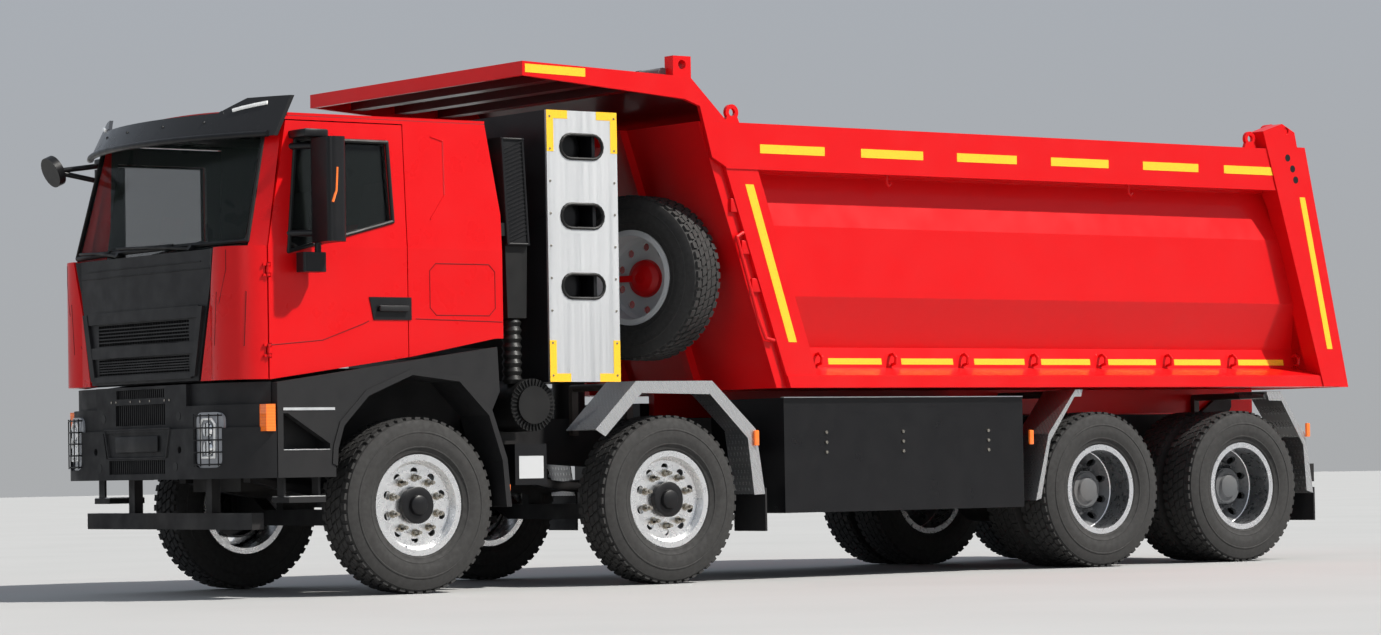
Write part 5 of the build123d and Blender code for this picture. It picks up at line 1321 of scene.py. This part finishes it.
def intakeSlats():
    g = slatSet
    x, out, clear = g["face"], g["face"] + g["out"], g["clear"]
    topFront, _, lowRear, lowFront = g["corners"]
    back = Shape().prism([(behind(b), z) for b, z in g["corners"]], x, x + g["backThick"])
    back.piece("intakeBack", "hubBlack")
    rim = [spot(out, b, z) for b, z in g["corners"]]
    frameBars = Shape().bent(rim + rim[:2], g["frameRod"])
    for b, z in g["corners"]:
        frameBars.rod(spot(x, b, z), spot(x + g["cornerOut"], b, z), g["cornerRod"], 8)
    frameBars.piece("intakeFrame", "mirrorPlastic", smooth=50)
    whole = topFront[1] - lowFront[1]
    tall = whole - g["rise"] - 2 * clear
    step = Vector((0, (topFront[0] - lowFront[0]) * tall / whole, tall)) / (g["count"] - 1)
    start = spot(out, lowFront[0], lowFront[1] + clear)
    end = spot(out, lowRear[0] - g["trim"], lowRear[1] + clear + g["rise"])
    slat = Shape().rod(start, end, g["rod"], 6).data("intakeSlat", "mirrorPlastic")
    rows("intakeSlats", slat, [(g["count"], (0, 0, 0), step)], "mirrorPlastic")


intakeSlats()


# Rolled tarpaulin behind the canopy's front, on the bed
tarpSet = {
    "half": 1.06, "back": 1.985, "radius": 0.038, "sink": 0.004, "sides": 20,
    "straps": (-0.80, 0.0, 0.80), "strapHalf": 0.02, "strapThick": 0.003,
}


def tarpRoll():
    t = tarpSet
    top = onNode("canopy", spot(0, t["back"], castSet["above"]), (0, 0, -1)).z
    z = top + t["radius"] - t["sink"]

    def roll(shape, x, half, radius):
        return shape.rod(spot(x - half, t["back"], z), spot(x + half, t["back"], z), radius, t["sides"])

    roll(Shape(), 0.0, t["half"], t["radius"]).piece("tarpRoll", "tarpGrey", "bed", "rack_dark", 50)
    straps = Shape()
    for x in t["straps"]:
        roll(straps, x, t["strapHalf"], t["radius"] + t["strapThick"])
    straps.piece("tarpStraps", "hoseRubber", "bed", "rack_dark", 50)


tarpRoll()
print("intake and tarpaulin made")


# Tailgate ribs and rear lamps
rearSet = {
    "ribs": (-1.10, -0.55, 0.0, 0.55, 1.10), "ribZ": (1.330, 2.860), "ribHalf": 0.045, "ribOut": 0.034,
    "ribEnd": 0.03, "sink": 0.004, "bars": (1.390, 2.790), "barHalf": 0.045, "barShare": 0.7, "barX": 0.2,
    "lampX": (("whiteLens", 0.700, 0.800), ("redLens", 0.805, 0.905), ("orangeLens", 0.910, 1.010)),
    "lampZ": (0.582, 0.668), "lampBack": (7.776, 7.802), "lampRound": 0.006,
}


def tailgateRibs():
    r = rearSet

    def face(x, z):
        return onNode("tailgate", spot(x, castSet["after"], z), (0, -1, 0)).y

    ribs = Shape()
    low, high = r["ribZ"]
    sink, out, end = r["sink"], r["ribOut"], r["ribEnd"]
    for x in r["ribs"]:
        a, b = face(x, low), face(x, high)
        outline = [(a - sink, low), (a + sink, low - end), (a + out, low)]
        outline += [(b + out, high), (b - sink, high + end)]
        ribs.prism(outline, x - r["ribHalf"], x + r["ribHalf"])
    out = r["ribOut"] * r["barShare"]
    for z in r["bars"]:
        low, high = z - r["barHalf"], z + r["barHalf"]
        a, b = face(r["barX"], low), face(r["barX"], high)
        outline = [(a - sink, low), (a + out, low), (b + out, high), (b - sink, high)]
        ribs.prism(outline, r["ribs"][0], r["ribs"][-1])
    ribs.piece("gateRibs", "bedRed", "gate", "bed_red")


def rearLamps():
    r = rearSet
    for material, low, high in r["lampX"]:
        lens = Shape()
        for side in (1, -1):
            lens.sideBlock(side, (low, high), r["lampBack"], r["lampZ"], r["lampRound"])
        lens.piece(f"rearLamps_{material}", material, slot="lamp_lens")


tailgateRibs()
rearLamps()
print("rear dressed")


# Floor, lights and camera
stageSet = {
    "floor": (0.40, 0.40, 0.395), "floorHalf": 120.0, "floorShade": 0.94,
    "sky": ((0.0, (0.62, 0.62, 0.60, 1)), (0.5, (0.80, 0.82, 0.84, 1)), (0.62, (0.78, 0.86, 0.98, 1))),
    "skyStrength": 0.50, "sun": (0.52, 0.40, 0.75), "sunPower": 5.6, "sunAngle": 1.5,
    "sunColour": (1.0, 0.97, 0.92),
    "fill": (12, -18, 7), "fillTarget": (0, -2, 1.5), "fillSize": 6.0, "fillPower": 260,
    "camera": (21.328, -16.585, 0.744), "yaw": 52.812, "pitch": -2.169, "roll": -1.0006, "lens": 102.81,
    "sensor": 36.0, "far": 300.0,
}


def shown(name, data):  # links a new object
    obj = bpy.data.objects.new(name, data)
    bpy.context.scene.collection.objects.link(obj)
    return obj


def aimed(way):  # the turn of a light that shines along a direction
    return Vector(way).to_track_quat("-Z", "Y").to_euler()


def makeFloor():
    s = stageSet
    f = Finish("paleFloor", s["floor"], 0.8)
    patches = f.spread(f.noise(0.5, 4.0), *noiseSpan)
    f.set("Base Color", f.mix(patches, rgba(s["floor"]), rgba(s["floor"], s["floorShade"])))
    half = s["floorHalf"]
    mesh = bpy.data.meshes.new("paleFloor")
    corners = [(-half, -half, 0), (half, -half, 0), (half, half, 0), (-half, half, 0)]
    mesh.from_pydata(corners, [], [(0, 1, 2, 3)])
    mesh.materials.append(f.material)
    shown("paleFloor", mesh)


def makeSky():
    s = stageSet
    world = bpy.data.worlds.new("softSky")
    world.use_nodes = True
    start = Wire(world.node_tree)
    place = start.make("ShaderNodeTexCoord", out=0)
    height = start.make("ShaderNodeSeparateXYZ", None, {0: place}, 2)
    sky = start.make("ShaderNodeValToRGB", {"stops": s["sky"]}, {0: height * 0.5 + 0.5})
    back = world.node_tree.nodes["Background"]
    world.node_tree.links.new(sky.socket, back.inputs["Color"])
    back.inputs["Strength"].default_value = s["skyStrength"]
    bpy.context.scene.world = world
    bpy.context.scene.view_settings.view_transform = "Standard"


def makeLights():
    s = stageSet
    sun = bpy.data.lights.new("sunLight", "SUN")
    sun.energy, sun.angle, sun.color = s["sunPower"], math.radians(s["sunAngle"]), s["sunColour"]
    shown("sunLight", sun).rotation_euler = aimed(-Vector(s["sun"]))
    fill = bpy.data.lights.new("frontFill", "AREA")
    fill.shape, fill.size, fill.energy = "DISK", s["fillSize"], s["fillPower"]
    obj = shown("frontFill", fill)
    obj.location = s["fill"]
    obj.rotation_euler = aimed(Vector(s["fillTarget"]) - Vector(s["fill"]))


def makeCamera():
    s = stageSet
    yaw, pitch, roll = (math.radians(s[k]) for k in ("yaw", "pitch", "roll"))
    back = Vector((math.sin(yaw) * math.cos(pitch), -math.cos(yaw) * math.cos(pitch), math.sin(pitch)))
    right = Vector((math.cos(yaw), math.sin(yaw), 0))
    up = back.cross(right)
    leanRight = math.cos(roll) * right + math.sin(roll) * up
    leanUp = -math.sin(roll) * right + math.cos(roll) * up
    data = bpy.data.cameras.new("photoCamera")
    data.lens, data.sensor_width, data.clip_end = s["lens"], s["sensor"], s["far"]
    camera = shown("photoCamera", data)
    turn = Matrix((leanRight, leanUp, back)).transposed().to_4x4()
    camera.matrix_world = Matrix.Translation(Vector(s["camera"])) @ turn
    bpy.context.scene.camera = camera


makeFloor()
makeSky()
makeLights()
makeCamera()
print("stage set")
